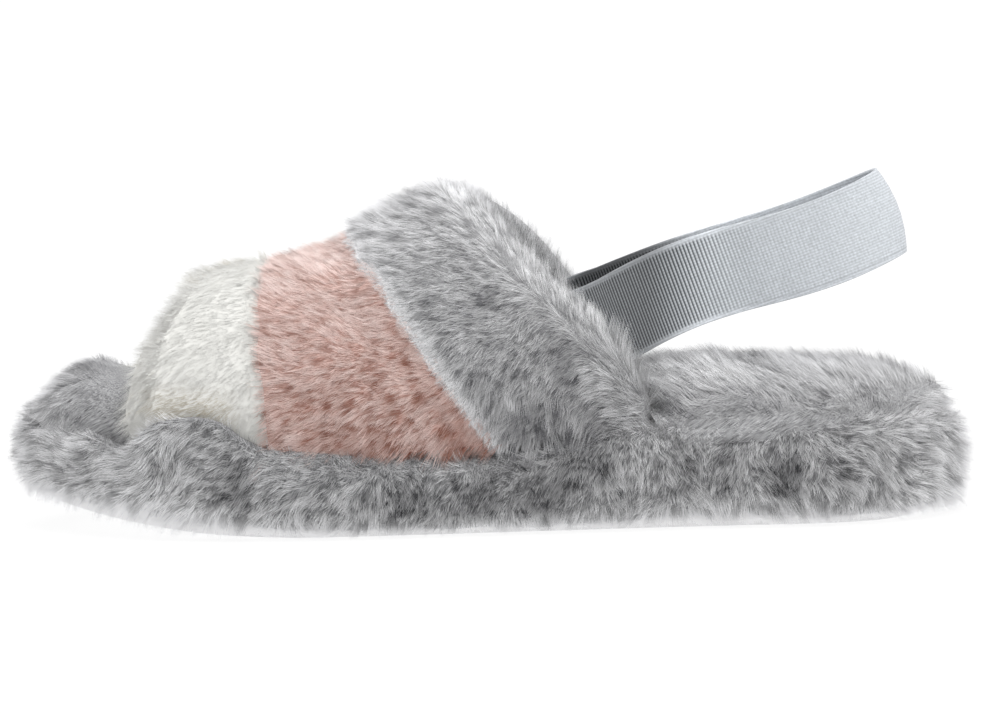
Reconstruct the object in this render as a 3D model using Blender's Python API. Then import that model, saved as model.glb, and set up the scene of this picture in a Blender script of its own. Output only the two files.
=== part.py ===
"""Slide slipper for the left foot: foam sole, fur footbed and wrap, hollow upper with fur panels, heel strap.

Sizes are in millimetres until a mesh is made. X runs from the toe to the heel, Y from the outer side of the
foot to the inner side, and Z up from the floor. The origin is on the underside, below the middle of the sole.
"""
import math
from collections import namedtuple

import bmesh
import bpy
import numpy as np

# Driving dimensions

MM = 0.001
GAP = 0.3
SHARP_EDGE_DEG = 50

SOLE_LENGTH = 256.0
HEEL_END = SOLE_LENGTH / 2
HEEL_ROUND = 0.15
TOE_ROUND = 0.22
SOLE_STEPS = 36
UNDER_EDGE_INSET = 2.5
UNDER_EDGE_HEIGHT = 3.0
DECK_EDGE = 1.2

# The station is the share of the sole's length from the heel. Outer and inner are the half widths on the two
# sides of the foot, lift is the height of the underside, and deck is the height of the foam's top.
SoleRow = namedtuple("SoleRow", "station outer inner lift deck")
SOLE_ROWS = [
    SoleRow(0.00, 32.0, 32.0, 1.6, 25.0),
    SoleRow(0.07, 32.5, 32.0, 0.0, 24.6),
    SoleRow(0.22, 34.5, 32.5, 0.0, 24.0),
    SoleRow(0.42, 39.5, 31.5, 0.0, 22.5),
    SoleRow(0.58, 44.5, 37.0, 0.0, 20.5),
    SoleRow(0.70, 47.0, 43.5, 0.0, 19.5),
    SoleRow(0.80, 46.0, 46.0, 1.2, 20.6),
    SoleRow(0.90, 41.5, 44.5, 4.4, 23.8),
    SoleRow(1.00, 34.0, 41.0, 9.0, 28.0),
]

# The footbed's rings from its base to the edge of its top. Covered and open are the insets from the foam's edge
# under the upper and at the open toe and heel. A ring's height is its base plus a share of the pad's own height.
InsoleRing = namedtuple("InsoleRing", "covered open base share")
INSOLE_RINGS = [
    InsoleRing(6.6, 0.6, 0.3, 0.0),
    InsoleRing(5.8, 0.1, 3.7, 0.0),
    InsoleRing(4.8, -4.4, 0.0, 0.52),
    InsoleRing(8.0, -0.6, 0.0, 0.84),
]
INSOLE_HEIGHT = 16.5
INSOLE_OPEN_RISE = 3.6
INSOLE_RISE_LEAD = 16.0
INSOLE_END_START = 98.0
INSOLE_END_LENGTH = 34.0
INSOLE_END_DROP = 0.46
INSOLE_CROWN = 2.0
INSOLE_TUFT = 2.0
INSOLE_COLUMNS = 8
INSOLE_EDGE_DROP = 3.0
INSOLE_END_EASE = 0.4

# A lock starts at the root's share of the fur's depth, its tips have the whole depth, the dips between the
# tips have the dip's share, and the next root starts a little behind the tips.
LOCK_FIRST_ROOT = 0.62
LOCK_ROOT = 0.70
LOCK_DIP = 0.80
LOCK_STEP_BEHIND = 0.12

WRAP_STEPS = 58
WRAP_LOCK_ROWS = 3
WRAP_PILE = 10.0
WRAP_TIP_REACH = 3.2
WRAP_BOTTOM = 1.0
WRAP_HEM = 1.2
WRAP_LIP = 1.0
WRAP_EDGE_BULGE = 0.62
WRAP_BULGE_START = 0.12
WRAP_BULGE_END = 0.88
WRAP_TOP = 1.0
WRAP_OPEN_TOP = 3.2

UPPER_INSET = 1.0
UPPER_WALL = 2.6
UPPER_STEPS = 10
UPPER_COLUMNS = 24
FRONT_FOOT_X = -98.0
FRONT_CROWN_X = -79.0
FRONT_CURVE = 3.0
COLLAR_FOOT_X = 43.0
COLLAR_CROWN_X = -8.0

# Crown is the height of the backing over the middle of the foot at x, and shift moves it to the inner side.
UpperRow = namedtuple("UpperRow", "x crown shift")
UPPER_ROWS = [
    UpperRow(-112.0, 51.0, 6.0),
    UpperRow(-90.0, 59.0, 5.5),
    UpperRow(-75.0, 65.0, 5.0),
    UpperRow(-58.0, 68.5, 4.5),
    UpperRow(-40.0, 73.5, 3.5),
    UpperRow(-24.0, 82.0, 2.5),
    UpperRow(-8.0, 89.0, 1.5),
    UpperRow(15.0, 94.0, 0.5),
    UpperRow(60.0, 96.0, 0.0),
]
ARCH_POWER = 2.3
NORMAL_STEP_X = 1.0
NORMAL_STEP_TURN = 0.02

WHITE_SEAM_FOOT_X = -61.5
WHITE_SEAM_CROWN_X = -61.0
WHITE_SEAM_BOW = -3.0
GREY_SEAM_FOOT_X = 4.0
GREY_SEAM_CROWN_X = -36.5
GREY_SEAM_CURVE = 0.62
FRONT_OVERHANG = 4.0
OPEN_BLEND = 15.0
COLLAR_ROLL = 6.5
PANEL_FOOT = 2.2
PANEL_GAP = 0.45
PANEL_COLUMNS = 44
PANEL_EDGE_PILE = 0.55
PANEL_EDGE_SHARE = 0.09
PANEL_INNER_ROWS = 4
PANEL_TIP_REACH = 0.3
PANEL_DIP_BACK = 0.2

# Rear, middle and front are the fur's depths along a panel, from the heel side to the toe side.
PanelRow = namedtuple("PanelRow", "node lock_rows rear middle front")
PANEL_ROWS = [
    PanelRow("toe_panel", 4, 8.0, 9.0, 7.0),
    PanelRow("vamp_panel", 4, 8.0, 8.5, 7.0),
    PanelRow("collar_panel", 4, 10.5, 11.5, 10.5),
]

STRAP_WIDTH = 25.0
STRAP_THICKNESS = 1.4
STRAP_START_X = 36.0
STRAP_START_Z = 58.0
STRAP_RISE_DEG = 19.6
STRAP_REACH = 85.0
STRAP_TAB_START = -36.0
STRAP_TAB_END = -14.0
STRAP_FREE = 3.0
STRAP_BOW = 1.2
STRAP_CUP = 2.2
STRAP_TILT = -0.25
STRAP_WALL_ALLOWANCE = 1.25
STRAP_LEG_STEPS = 22
STRAP_TURN_STEPS = 24
STRAP_ACROSS = 4

# The empty loop is a drop from above: half is how far each leg is from the middle, on its way out from the collar.
StrapRow = namedtuple("StrapRow", "along half")
STRAP_ROWS = [
    StrapRow(-14.0, 33.0),
    StrapRow(1.6, 20.0),
    StrapRow(13.4, 10.5),
    StrapRow(20.7, 7.0),
    StrapRow(28.0, 5.4),
    StrapRow(36.0, 5.2),
    StrapRow(46.0, 7.4),
    StrapRow(57.0, 10.0),
    StrapRow(66.0, 11.0),
]
STRAP_WIDEST = STRAP_ROWS[-1].along

# Colours in linear red, green and blue

FUR_GREY = (0.36, 0.36, 0.37)
FUR_WHITE = (0.78, 0.77, 0.74)
FUR_PINK = (0.60, 0.38, 0.34)
FOAM_GREY = (0.30, 0.30, 0.31)
LINING_GREY = (0.42, 0.42, 0.43)
ELASTIC_GREY = (0.55, 0.58, 0.61)
FUR_ROUGHNESS = 0.95


# Shared helpers


def through(rows, key, column):
    """A smooth function through one column of a table, which never overshoots its rows."""
    places = np.array([getattr(row, key) for row in rows])
    values = np.array([getattr(row, column) for row in rows])
    secants = np.diff(values) / np.diff(places)
    before, after = secants[:-1], secants[1:]
    same_way = before * after > 0
    slopes = np.concatenate([secants[:1], np.zeros(len(before)), secants[-1:]])
    slopes[1:-1][same_way] = (2 * before * after)[same_way] / (before + after)[same_way]

    def at(place):
        place = np.clip(place, places[0], places[-1])
        i = np.clip(np.searchsorted(places, place) - 1, 0, len(secants) - 1)
        span = places[i + 1] - places[i]
        t = (place - places[i]) / span
        rise = values[i + 1] - values[i]
        ease = t * t * (3 - 2 * t)
        lead = t * (1 - t) ** 2 * span * slopes[i]
        trail = t * t * (t - 1) * span * slopes[i + 1]
        return values[i] + rise * ease + lead + trail

    return at


def smooth_step(low, high, value):
    t = np.clip((value - low) / (high - low), 0.0, 1.0)
    return t * t * (3 - 2 * t)


def unit(vectors):
    return vectors / np.linalg.norm(vectors, axis=-1, keepdims=True)


class Skin:
    """The points and faces of one closed solid, collected row by row."""

    def __init__(self):
        self.points = []
        self.faces = []

    def add(self, row):
        first = len(self.points)
        self.points.extend(tuple(point) for point in row)
        return list(range(first, len(self.points)))

    def join(self, first, second, closed=False):
        """Quads between two rows with the same number of points."""
        count = len(first)
        for i in range(count if closed else count - 1):
            j = (i + 1) % count
            self.faces.append((first[i], first[j], second[j], second[i]))

    def stitch(self, first, second):
        """Triangles between two rows whose numbers of points differ."""
        i = j = 0
        while i < len(first) - 1 or j < len(second) - 1:
            step_first = (i + 1) * (len(second) - 1) <= (j + 1) * (len(first) - 1)
            if step_first and i < len(first) - 1 or j == len(second) - 1:
                self.faces.append((first[i], first[i + 1], second[j]))
                i += 1
            else:
                self.faces.append((first[i], second[j + 1], second[j]))
                j += 1

    def ladder(self, ring):
        """Closes a ring that runs from heel to toe on one side and back on the other, with rungs across."""
        half = len(ring) // 2
        for i in range(half):
            near = (ring[i], ring[i + 1])
            far = (ring[2 * half - i - 1], ring[(2 * half - i) % len(ring)])
            self.faces.append(tuple(dict.fromkeys(near + far)))

    def make(self, name, material):
        """Turns the collected rows into a named object whose faces point outwards."""
        mesh = bpy.data.meshes.new(name)
        mesh.from_pydata([tuple(c * MM for c in point) for point in self.points], [], self.faces)
        shape = bmesh.new()
        shape.from_mesh(mesh)
        bmesh.ops.recalc_face_normals(shape, faces=shape.faces[:])
        shape.to_mesh(mesh)
        shape.free()
        mesh.shade_smooth()
        mesh.set_sharp_from_angle(angle=math.radians(SHARP_EDGE_DEG))
        mesh.materials.append(material)
        made = bpy.data.objects.new(name, mesh)
        bpy.context.scene.collection.objects.link(made)
        return made


def principled(name, colour, roughness):
    """A matte material, with its colour in linear red, green and blue."""
    material = bpy.data.materials.new(name)
    material.use_nodes = True
    shader = material.node_tree.nodes["Principled BSDF"]
    shader.inputs["Base Color"].default_value = (*colour, 1.0)
    shader.inputs["Roughness"].default_value = roughness
    shader.inputs["Metallic"].default_value = 0.0
    return material


# The sole's outline and heights

outer_width = through(SOLE_ROWS, "station", "outer")
inner_width = through(SOLE_ROWS, "station", "inner")
lift_at = through(SOLE_ROWS, "station", "lift")
deck_at = through(SOLE_ROWS, "station", "deck")


def station_of(x):
    return (HEEL_END - x) / SOLE_LENGTH


def end_round(station):
    """Narrows both ends of the outline to quarter ellipses."""
    heel = np.clip((HEEL_ROUND - station) / HEEL_ROUND, 0.0, 1.0)
    toe = np.clip((station - 1 + TOE_ROUND) / TOE_ROUND, 0.0, 1.0)
    return np.sqrt(1 - heel**2) * np.sqrt(1 - toe**2)


def underside(x):
    return lift_at(station_of(x))


def deck(x):
    return deck_at(station_of(x))


def outline(steps, offset):
    """The sole's edge from above, heel to toe on the outer side and back on the inner, moved out by offset."""
    turn = np.arange(2 * steps) * math.pi / steps
    station = (1 - np.cos(turn)) / 2
    x = HEEL_END - SOLE_LENGTH * station
    on_outer_side = turn < math.pi
    width = np.where(on_outer_side, -outer_width(station), inner_width(station))
    edge = np.stack([x, width * end_round(station)], axis=1)
    along = np.roll(edge, -1, axis=0) - np.roll(edge, 1, axis=0)
    outward = unit(np.stack([along[:, 1], -along[:, 0]], axis=1))
    return edge - outward * offset


def ring_at(plan, height):
    return np.column_stack([plan, height])


def make_sole(material):
    """The foam: a flat underside with a rounded edge, straight sides and a slightly eased deck edge."""
    skin = Skin()
    under = outline(SOLE_STEPS, -UNDER_EDGE_INSET)
    side = outline(SOLE_STEPS, 0.0)
    top = outline(SOLE_STEPS, -DECK_EDGE)
    rings = [
        skin.add(ring_at(under, underside(under[:, 0]))),
        skin.add(ring_at(side, underside(side[:, 0]) + UNDER_EDGE_HEIGHT)),
        skin.add(ring_at(side, deck(side[:, 0]) - DECK_EDGE)),
        skin.add(ring_at(top, deck(top[:, 0]))),
    ]
    for lower, upper in zip(rings, rings[1:]):
        skin.join(lower, upper, closed=True)
    skin.ladder(rings[0])
    skin.ladder(rings[-1])
    return skin.make("sole", material)


def open_share(x):
    """0 where the upper covers the foot, rising to 1 at the open toe and heel."""
    toe_start = FRONT_FOOT_X - FRONT_OVERHANG
    heel_start = COLLAR_FOOT_X + COLLAR_ROLL
    toe = 1 - smooth_step(toe_start - OPEN_BLEND, toe_start, x)
    heel = smooth_step(heel_start, heel_start + OPEN_BLEND, x)
    return toe + heel


def insole_height(x):
    """The pad's height: higher where it is open to view, and falling off to both ends."""
    toe = 1 - smooth_step(FRONT_FOOT_X - FRONT_OVERHANG - OPEN_BLEND, FRONT_FOOT_X - FRONT_OVERHANG, x)
    heel_start = COLLAR_FOOT_X + COLLAR_ROLL - INSOLE_RISE_LEAD
    heel = smooth_step(heel_start, heel_start + OPEN_BLEND, x)
    end = np.clip((np.abs(x) - INSOLE_END_START) / INSOLE_END_LENGTH, 0.0, 1.0)
    return (INSOLE_HEIGHT + INSOLE_OPEN_RISE * (toe + heel)) * (1 - INSOLE_END_DROP * end**2)


def insole_ring(row):
    """One ring of the footbed, drawn in under the upper and wide at the open toe and heel."""
    inset = row.covered + (row.open - row.covered) * open_share(outline(SOLE_STEPS, 0.0)[:, 0])
    plan = outline(SOLE_STEPS, -inset[:, None])
    x = plan[:, 0]
    return ring_at(plan, deck(x) + row.base + row.share * insole_height(x))


def make_insole(material):
    """The fur footbed: a soft pad that swells over the wrap, with a crowned top of staggered tufts."""
    skin = Skin()
    rings = [skin.add(insole_ring(row)) for row in INSOLE_RINGS]
    edge_ring = rings[-1]
    skin.ladder(rings[0])
    for lower, upper in zip(rings, rings[1:]):
        skin.join(lower, upper, closed=True)
    across = np.linspace(0.0, 1.0, INSOLE_COLUMNS + 1)[1:-1]
    crown = INSOLE_EDGE_DROP + INSOLE_CROWN * np.sin(math.pi * across)
    rows = []
    for i in range(1, SOLE_STEPS):
        left = np.array(skin.points[edge_ring[i]])
        right = np.array(skin.points[edge_ring[2 * SOLE_STEPS - i]])
        row = left + (right - left) * across[:, None]
        tuft = INSOLE_TUFT * ((np.arange(len(across)) + i) % 2)
        end_fall = np.sin(math.pi * i / SOLE_STEPS) ** INSOLE_END_EASE
        row[:, 2] += (crown + tuft) * end_fall
        rows.append([edge_ring[i]] + skin.add(row) + [edge_ring[2 * SOLE_STEPS - i]])
    for before, after in zip(rows, rows[1:]):
        skin.join(before, after)
    for tip, row in ((edge_ring[0], rows[0]), (edge_ring[SOLE_STEPS], rows[-1])):
        skin.stitch([tip], row)
    return skin.make("insole", material)


def lock_rows(count):
    """Rows of a coat of fur along its lay: place, share of the full depth, and the row of tips it belongs to.

    Each lock rises from its root to its tips and drops to the next root just behind them.
    """
    rows = [(0.0, LOCK_FIRST_ROOT, None)]
    for k in range(count):
        rows.append(((k + 1) / count, 1.0, k))
        if k < count - 1:
            rows.append(((k + 1 + LOCK_STEP_BEHIND) / count, LOCK_ROOT, None))
    return rows


def is_tip(columns, row):
    """Every second column ends in a tip, staggered from row to row."""
    return (np.arange(columns) + row) % 2 == 0


def make_wrap(material):
    """The fur strip round the foam's side: rows of locks that point down, fused to a bulging band."""
    skin = Skin()
    inner = outline(WRAP_STEPS, GAP)
    columns = len(inner)
    low = underside(inner[:, 0]) + WRAP_BOTTOM
    high = deck(inner[:, 0]) + WRAP_TOP + (WRAP_OPEN_TOP - WRAP_TOP) * open_share(inner[:, 0])
    rings = [skin.add(ring_at(inner, low)), skin.add(ring_at(inner, high - WRAP_LIP))]
    for place, depth, tips in lock_rows(WRAP_LOCK_ROWS):
        swell = math.sin(math.pi * (WRAP_BULGE_START + (WRAP_BULGE_END - WRAP_BULGE_START) * place))
        bulge = WRAP_EDGE_BULGE + (1 - WRAP_EDGE_BULGE) * swell
        reach = np.zeros(columns)
        share = np.full(columns, depth)
        if tips is not None:
            tip = is_tip(columns, tips)
            reach = np.where(tip, WRAP_TIP_REACH, 0.0)
            share = np.where(tip, 1.0, LOCK_DIP)
        height = np.maximum(high + (low + WRAP_HEM - high) * place - reach, low)
        plan = outline(WRAP_STEPS, GAP + (WRAP_PILE * bulge * share)[:, None])
        rings.append(skin.add(ring_at(plan, height)))
    for before, after in zip(rings, rings[1:] + rings[:1]):
        skin.join(before, after, closed=True)
    return skin.make("sole_wrap", material)


# The upper's own function

crown_at = through(UPPER_ROWS, "x", "crown")
shift_at = through(UPPER_ROWS, "x", "shift")


def upper_feet(x):
    """The places of the upper's two lower edges across the sole."""
    station = station_of(x)
    outer = outer_width(station) * end_round(station) - UPPER_INSET
    inner = inner_width(station) * end_round(station) - UPPER_INSET
    return -outer, inner


def upper_surface(x, turn):
    """The outer face of the backing: an arch from the outer foot at turn 0 to the inner foot at turn pi."""
    outer_foot, inner_foot = upper_feet(x)
    middle = shift_at(x)
    across = np.abs(np.cos(turn)) ** (2 / ARCH_POWER)
    foot = np.where(turn < math.pi / 2, outer_foot, inner_foot)
    y = middle + (foot - middle) * across
    foot_z = deck(x) + GAP
    z = foot_z + (crown_at(x) - foot_z) * np.abs(np.sin(turn)) ** (2 / ARCH_POWER)
    return np.stack([x, y, z], axis=-1)


def upper_point(x, turn, lift):
    """A point at a height over the backing, along the surface's own normal."""
    step = NORMAL_STEP_TURN
    x, turn = np.broadcast_arrays(np.asarray(x, float), np.asarray(turn, float))
    inside = np.clip(turn, 2 * step, math.pi - 2 * step)
    along = upper_surface(x + NORMAL_STEP_X, inside) - upper_surface(x - NORMAL_STEP_X, inside)
    around = upper_surface(x, inside + step) - upper_surface(x, inside - step)
    normal = unit(np.cross(along, around))
    return upper_surface(x, turn) + normal * np.asarray(lift)[..., None]


def turn_at_height(x, height):
    """Where the arch has risen by height over its foot."""
    rise = crown_at(x) - deck(x) - GAP
    return np.arcsin((height / rise) ** (ARCH_POWER / 2))


def front_edge(turn):
    return FRONT_FOOT_X + (FRONT_CROWN_X - FRONT_FOOT_X) * np.sin(turn) ** FRONT_CURVE


def collar_edge(turn):
    return COLLAR_FOOT_X + (COLLAR_CROWN_X - COLLAR_FOOT_X) * np.sin(turn)


def white_seam(turn):
    straight = WHITE_SEAM_FOOT_X + (WHITE_SEAM_CROWN_X - WHITE_SEAM_FOOT_X) * np.sin(turn)
    return straight + WHITE_SEAM_BOW * np.sin(2 * turn) ** 2


def grey_seam(turn):
    return GREY_SEAM_FOOT_X + (GREY_SEAM_CROWN_X - GREY_SEAM_FOOT_X) * np.sin(turn) ** GREY_SEAM_CURVE


def make_upper(material):
    """The backing: one wall over the foot, open at the toe, at the collar and below."""
    skin = Skin()
    turn = np.linspace(0.0, math.pi, UPPER_COLUMNS + 1)
    outside = []
    inside = []
    for u in np.linspace(0.0, 1.0, UPPER_STEPS + 1):
        x = front_edge(turn) + (collar_edge(turn) - front_edge(turn)) * u
        outside.append(skin.add(upper_point(x, turn, np.zeros_like(turn))))
        inside.append(skin.add(upper_point(x, turn, np.full_like(turn, -UPPER_WALL))))
    for rows in (outside, inside):
        for before, after in zip(rows, rows[1:]):
            skin.join(before, after)
    skin.join(outside[0], inside[0])
    skin.join(outside[-1], inside[-1])
    for column in (0, -1):
        skin.join([row[column] for row in outside], [row[column] for row in inside])
    return skin.make("upper", material)


def make_panel(row, rear_edge, toe_edge, material):
    """A fur panel on the backing between two edges, with rows of locks that lie towards the toe."""
    skin = Skin()
    across = np.linspace(0.0, 1.0, PANEL_COLUMNS + 1)
    pile_along = np.array([row.rear, row.middle, row.front])
    edge_fall = smooth_step(0.0, PANEL_EDGE_SHARE, across) * smooth_step(0.0, PANEL_EDGE_SHARE, 1 - across)
    edge_share = PANEL_EDGE_PILE + (1 - PANEL_EDGE_PILE) * edge_fall

    def place(share, lift):
        foot = np.zeros_like(across)
        foot_x = rear_edge(foot) + (toe_edge(foot) - rear_edge(foot)) * share
        margin = turn_at_height(foot_x, PANEL_FOOT)
        turn = margin + across * (math.pi - 2 * margin)
        x = rear_edge(turn) + (toe_edge(turn) - rear_edge(turn)) * share
        return skin.add(upper_point(x, turn, lift))

    outside = []
    for along, depth, tips in lock_rows(row.lock_rows):
        share = np.full_like(across, along)
        lift = np.full_like(across, depth)
        if tips is not None:
            tip = is_tip(len(across), tips)
            reach = PANEL_TIP_REACH / row.lock_rows if along < 1.0 else 0.0
            share = share + np.where(tip, reach, -PANEL_DIP_BACK / row.lock_rows)
            lift = np.where(tip, 1.0, LOCK_DIP)
        pile = np.interp(share, (0.0, 0.5, 1.0), pile_along)
        outside.append(place(share, PANEL_GAP + pile * lift * edge_share))
    inside = []
    for along in np.linspace(0.0, 1.0, PANEL_INNER_ROWS):
        inside.append(place(np.full_like(across, along), np.full_like(across, PANEL_GAP)))
    for rows in (outside, inside):
        for before, after in zip(rows, rows[1:]):
            skin.join(before, after)
    skin.join(outside[0], inside[0])
    skin.join(outside[-1], inside[-1])
    for column in (0, -1):
        skin.stitch([r[column] for r in outside], [r[column] for r in inside])
    return skin.make(row.node, material)


# The heel strap

strap_half = through(STRAP_ROWS, "along", "half")


def strap_wall(x, z):
    """How far from the middle the strap may lie, on each side, to pass just inside the backing's wall."""
    outer_foot, inner_foot = upper_feet(x)
    middle = shift_at(x)
    foot_z = deck(x) + GAP
    rise = np.clip((z - foot_z) / (crown_at(x) - foot_z), 0.0, 1.0)
    across = (1 - rise**ARCH_POWER) ** (1 / ARCH_POWER)
    room = UPPER_WALL * STRAP_WALL_ALLOWANCE + GAP + STRAP_THICKNESS
    return middle + (outer_foot - middle) * across + room, middle + (inner_foot - middle) * across - room


def strap_surface(along, side, height):
    """The strap's middle surface: tabs along the wall, legs that run together, and a drop-shaped end.

    Along is the way out from the collar in the loop's own plane, side runs from -1 on the outer leg through 0
    at the back to 1 on the inner leg, and height runs across the band.
    """
    rise = math.radians(STRAP_RISE_DEG)
    share_out = np.clip(along / STRAP_REACH, 0.0, 1.0)
    bow = STRAP_BOW * np.sin(2 * math.pi * share_out)
    cup = STRAP_CUP * (1 - (2 * height / STRAP_WIDTH) ** 2) * (1 - side**2)
    lift = height + bow - STRAP_TILT * side
    x = STRAP_START_X + (along + cup) * math.cos(rise) - lift * math.sin(rise)
    z = STRAP_START_Z + (along + cup) * math.sin(rise) + lift * math.cos(rise)
    out_of_tab = np.maximum(along - STRAP_TAB_END, 0.0)
    wall_x = x - out_of_tab * math.cos(rise)
    wall_z = z - out_of_tab * math.sin(rise)
    outer_wall, inner_wall = strap_wall(wall_x, wall_z)
    free = smooth_step(STRAP_TAB_END, STRAP_FREE, along)
    outer = outer_wall + (-strap_half(along) - outer_wall) * free
    inner = inner_wall + (strap_half(along) - inner_wall) * free
    y = np.where(side < 0, -side * outer, side * inner)
    return np.stack([x, y, z], axis=-1)


def make_strap(material):
    """The elastic band, as a sheet of even thickness with its two ends inside the collar."""
    skin = Skin()
    leg = np.linspace(STRAP_TAB_START, STRAP_WIDEST, STRAP_LEG_STEPS + 1)[:-1]
    swing = np.linspace(-math.pi / 2, math.pi / 2, STRAP_TURN_STEPS + 1)
    turn = STRAP_WIDEST + (STRAP_REACH - STRAP_WIDEST) * np.cos(swing)
    along = np.concatenate([leg, turn, leg[::-1]])
    side = np.concatenate([-np.ones_like(leg), np.sin(swing), np.ones_like(leg)])
    heights = np.linspace(-STRAP_WIDTH / 2, STRAP_WIDTH / 2, STRAP_ACROSS + 1)
    middle = np.stack([strap_surface(along, side, h) for h in heights], axis=1)
    lengthwise = np.gradient(middle, axis=0)
    crosswise = np.gradient(middle, axis=1)
    normal = unit(np.cross(lengthwise, crosswise))
    sheets = []
    for half in (-STRAP_THICKNESS / 2, STRAP_THICKNESS / 2):
        sheets.append([skin.add(row) for row in middle + normal * half])
    for sheet in sheets:
        for before, after in zip(sheet, sheet[1:]):
            skin.join(before, after)
    near, far = sheets
    for end in (0, -1):
        skin.join(near[end], far[end])
        skin.join([row[end] for row in near], [row[end] for row in far])
    return skin.make("sling_strap", material)


def clear_scene():
    for old in list(bpy.data.objects):
        bpy.data.objects.remove(old, do_unlink=True)


def main():
    clear_scene()
    make_sole(principled("sole_foam", FOAM_GREY, 0.9))
    make_insole(principled("footbed_fur", FUR_GREY, FUR_ROUGHNESS))
    make_wrap(principled("wrap_fur", FUR_GREY, FUR_ROUGHNESS))
    make_upper(principled("lining_cloth", LINING_GREY, 0.9))
    toe, vamp, collar = PANEL_ROWS
    half_gap = GAP / 2
    make_panel(
        toe,
        lambda turn: white_seam(turn) - half_gap,
        lambda turn: front_edge(turn) - FRONT_OVERHANG,
        principled("white_fur", FUR_WHITE, FUR_ROUGHNESS),
    )
    make_panel(
        vamp,
        lambda turn: grey_seam(turn) - half_gap,
        lambda turn: white_seam(turn) + half_gap,
        principled("pink_fur", FUR_PINK, FUR_ROUGHNESS),
    )
    make_panel(
        collar,
        lambda turn: collar_edge(turn) + COLLAR_ROLL,
        lambda turn: grey_seam(turn) + half_gap,
        principled("collar_fur", FUR_GREY, FUR_ROUGHNESS),
    )
    make_strap(principled("elastic", ELASTIC_GREY, 0.7))


main()
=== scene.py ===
# %% [markdown]
# # A fur slide with an elastic heel strap
# This lesson dresses a finished solid model of a slipper: a foam sole wrapped in long grey fur, a fur
# footbed, a band over the foot in white, pink and grey fur, and a ribbed elastic strap behind the heel.
# The solids give every size and place. Here each soft solid is replaced by a coat that keeps its form: a
# closed undercoat, and many thousand fine hairs that are combed and gathered into locks as on the real thing.

# %% Load the frame
import math
from collections import namedtuple

import bpy
import numpy as np
from mathutils import Matrix, Vector


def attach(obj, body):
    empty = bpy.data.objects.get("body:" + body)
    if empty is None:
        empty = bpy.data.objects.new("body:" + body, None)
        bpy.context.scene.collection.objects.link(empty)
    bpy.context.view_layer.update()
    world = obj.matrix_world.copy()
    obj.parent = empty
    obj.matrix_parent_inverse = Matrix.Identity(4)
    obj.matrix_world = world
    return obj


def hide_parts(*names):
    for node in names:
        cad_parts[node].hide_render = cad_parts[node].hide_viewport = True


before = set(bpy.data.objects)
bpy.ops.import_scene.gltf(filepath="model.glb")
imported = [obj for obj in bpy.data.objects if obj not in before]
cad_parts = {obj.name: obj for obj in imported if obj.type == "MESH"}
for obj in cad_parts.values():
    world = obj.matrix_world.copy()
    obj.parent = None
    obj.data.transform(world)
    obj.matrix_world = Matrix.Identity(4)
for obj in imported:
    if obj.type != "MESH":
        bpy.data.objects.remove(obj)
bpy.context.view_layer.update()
MM = 0.001
print("solids:", ", ".join(sorted(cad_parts)))

# %% [markdown]
# ## Camera
# The picture is taken almost level with the floor, from the outer side of the foot, with a long lens, so
# the slipper shows nearly in side view. Instead of trying angles by hand, the camera is worked out from four
# facts: its height angle, a slight roll, how many pixels a millimetre takes, and where the sole's middle
# lands.

# %% Place the camera
IMAGE_WIDTH = 1000
IMAGE_HEIGHT = 714
PIXELS_PER_MM = 3.47
ORIGIN_PIXEL = (490, 517)
CAMERA_ELEVATION = math.radians(4.6)
CAMERA_ROLL = math.radians(1.0)
CAMERA_DISTANCE = 1.5
SENSOR_WIDTH_MM = 36.0

forward = Vector((0.0, math.cos(CAMERA_ELEVATION), -math.sin(CAMERA_ELEVATION)))
level_right = Vector((1.0, 0.0, 0.0))
level_up = level_right.cross(forward)
right = level_right * math.cos(CAMERA_ROLL) - level_up * math.sin(CAMERA_ROLL)
up = level_up * math.cos(CAMERA_ROLL) + level_right * math.sin(CAMERA_ROLL)

pixel = MM / PIXELS_PER_MM
origin_right = (ORIGIN_PIXEL[0] - IMAGE_WIDTH / 2) * pixel
origin_up = (IMAGE_HEIGHT / 2 - ORIGIN_PIXEL[1]) * pixel
eye = -(right * origin_right + up * origin_up + forward * CAMERA_DISTANCE)

lens = bpy.data.cameras.new("camera")
lens.sensor_width = SENSOR_WIDTH_MM
lens.lens = SENSOR_WIDTH_MM * CAMERA_DISTANCE / (IMAGE_WIDTH * pixel)
camera = bpy.data.objects.new("camera", lens)
axes = Matrix((right, up, -forward)).transposed()
camera.matrix_world = Matrix.Translation(eye) @ axes.to_4x4()
bpy.context.scene.collection.objects.link(camera)
bpy.context.scene.camera = camera
print(f"camera: {lens.lens:.0f} mm lens, {CAMERA_DISTANCE} m away")

# %% [markdown]
# ## Floor and light
# A catalogue picture has a white floor without an edge and light from wide soft sources. A very large plane
# that glows gives the even white ground, with only a faint shadow, and a bright sky fills the shade. Three
# wide suns model the fur: one overhead makes its tops lighter than its sides, and two weaker ones, from the
# heel side and from the toe side, keep both ends of the slipper from going flat.

# %% Make the floor, the sky and the lamps
FLOOR_HALF = 60.0
FLOOR_WHITE = 0.12
FLOOR_GLOW = 0.88
SKY_STRENGTH = 0.5


def principled(name):
    """A new material and its shader."""
    material = bpy.data.materials.new(name)
    material.use_nodes = True
    return material, material.node_tree.nodes["Principled BSDF"]


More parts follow.
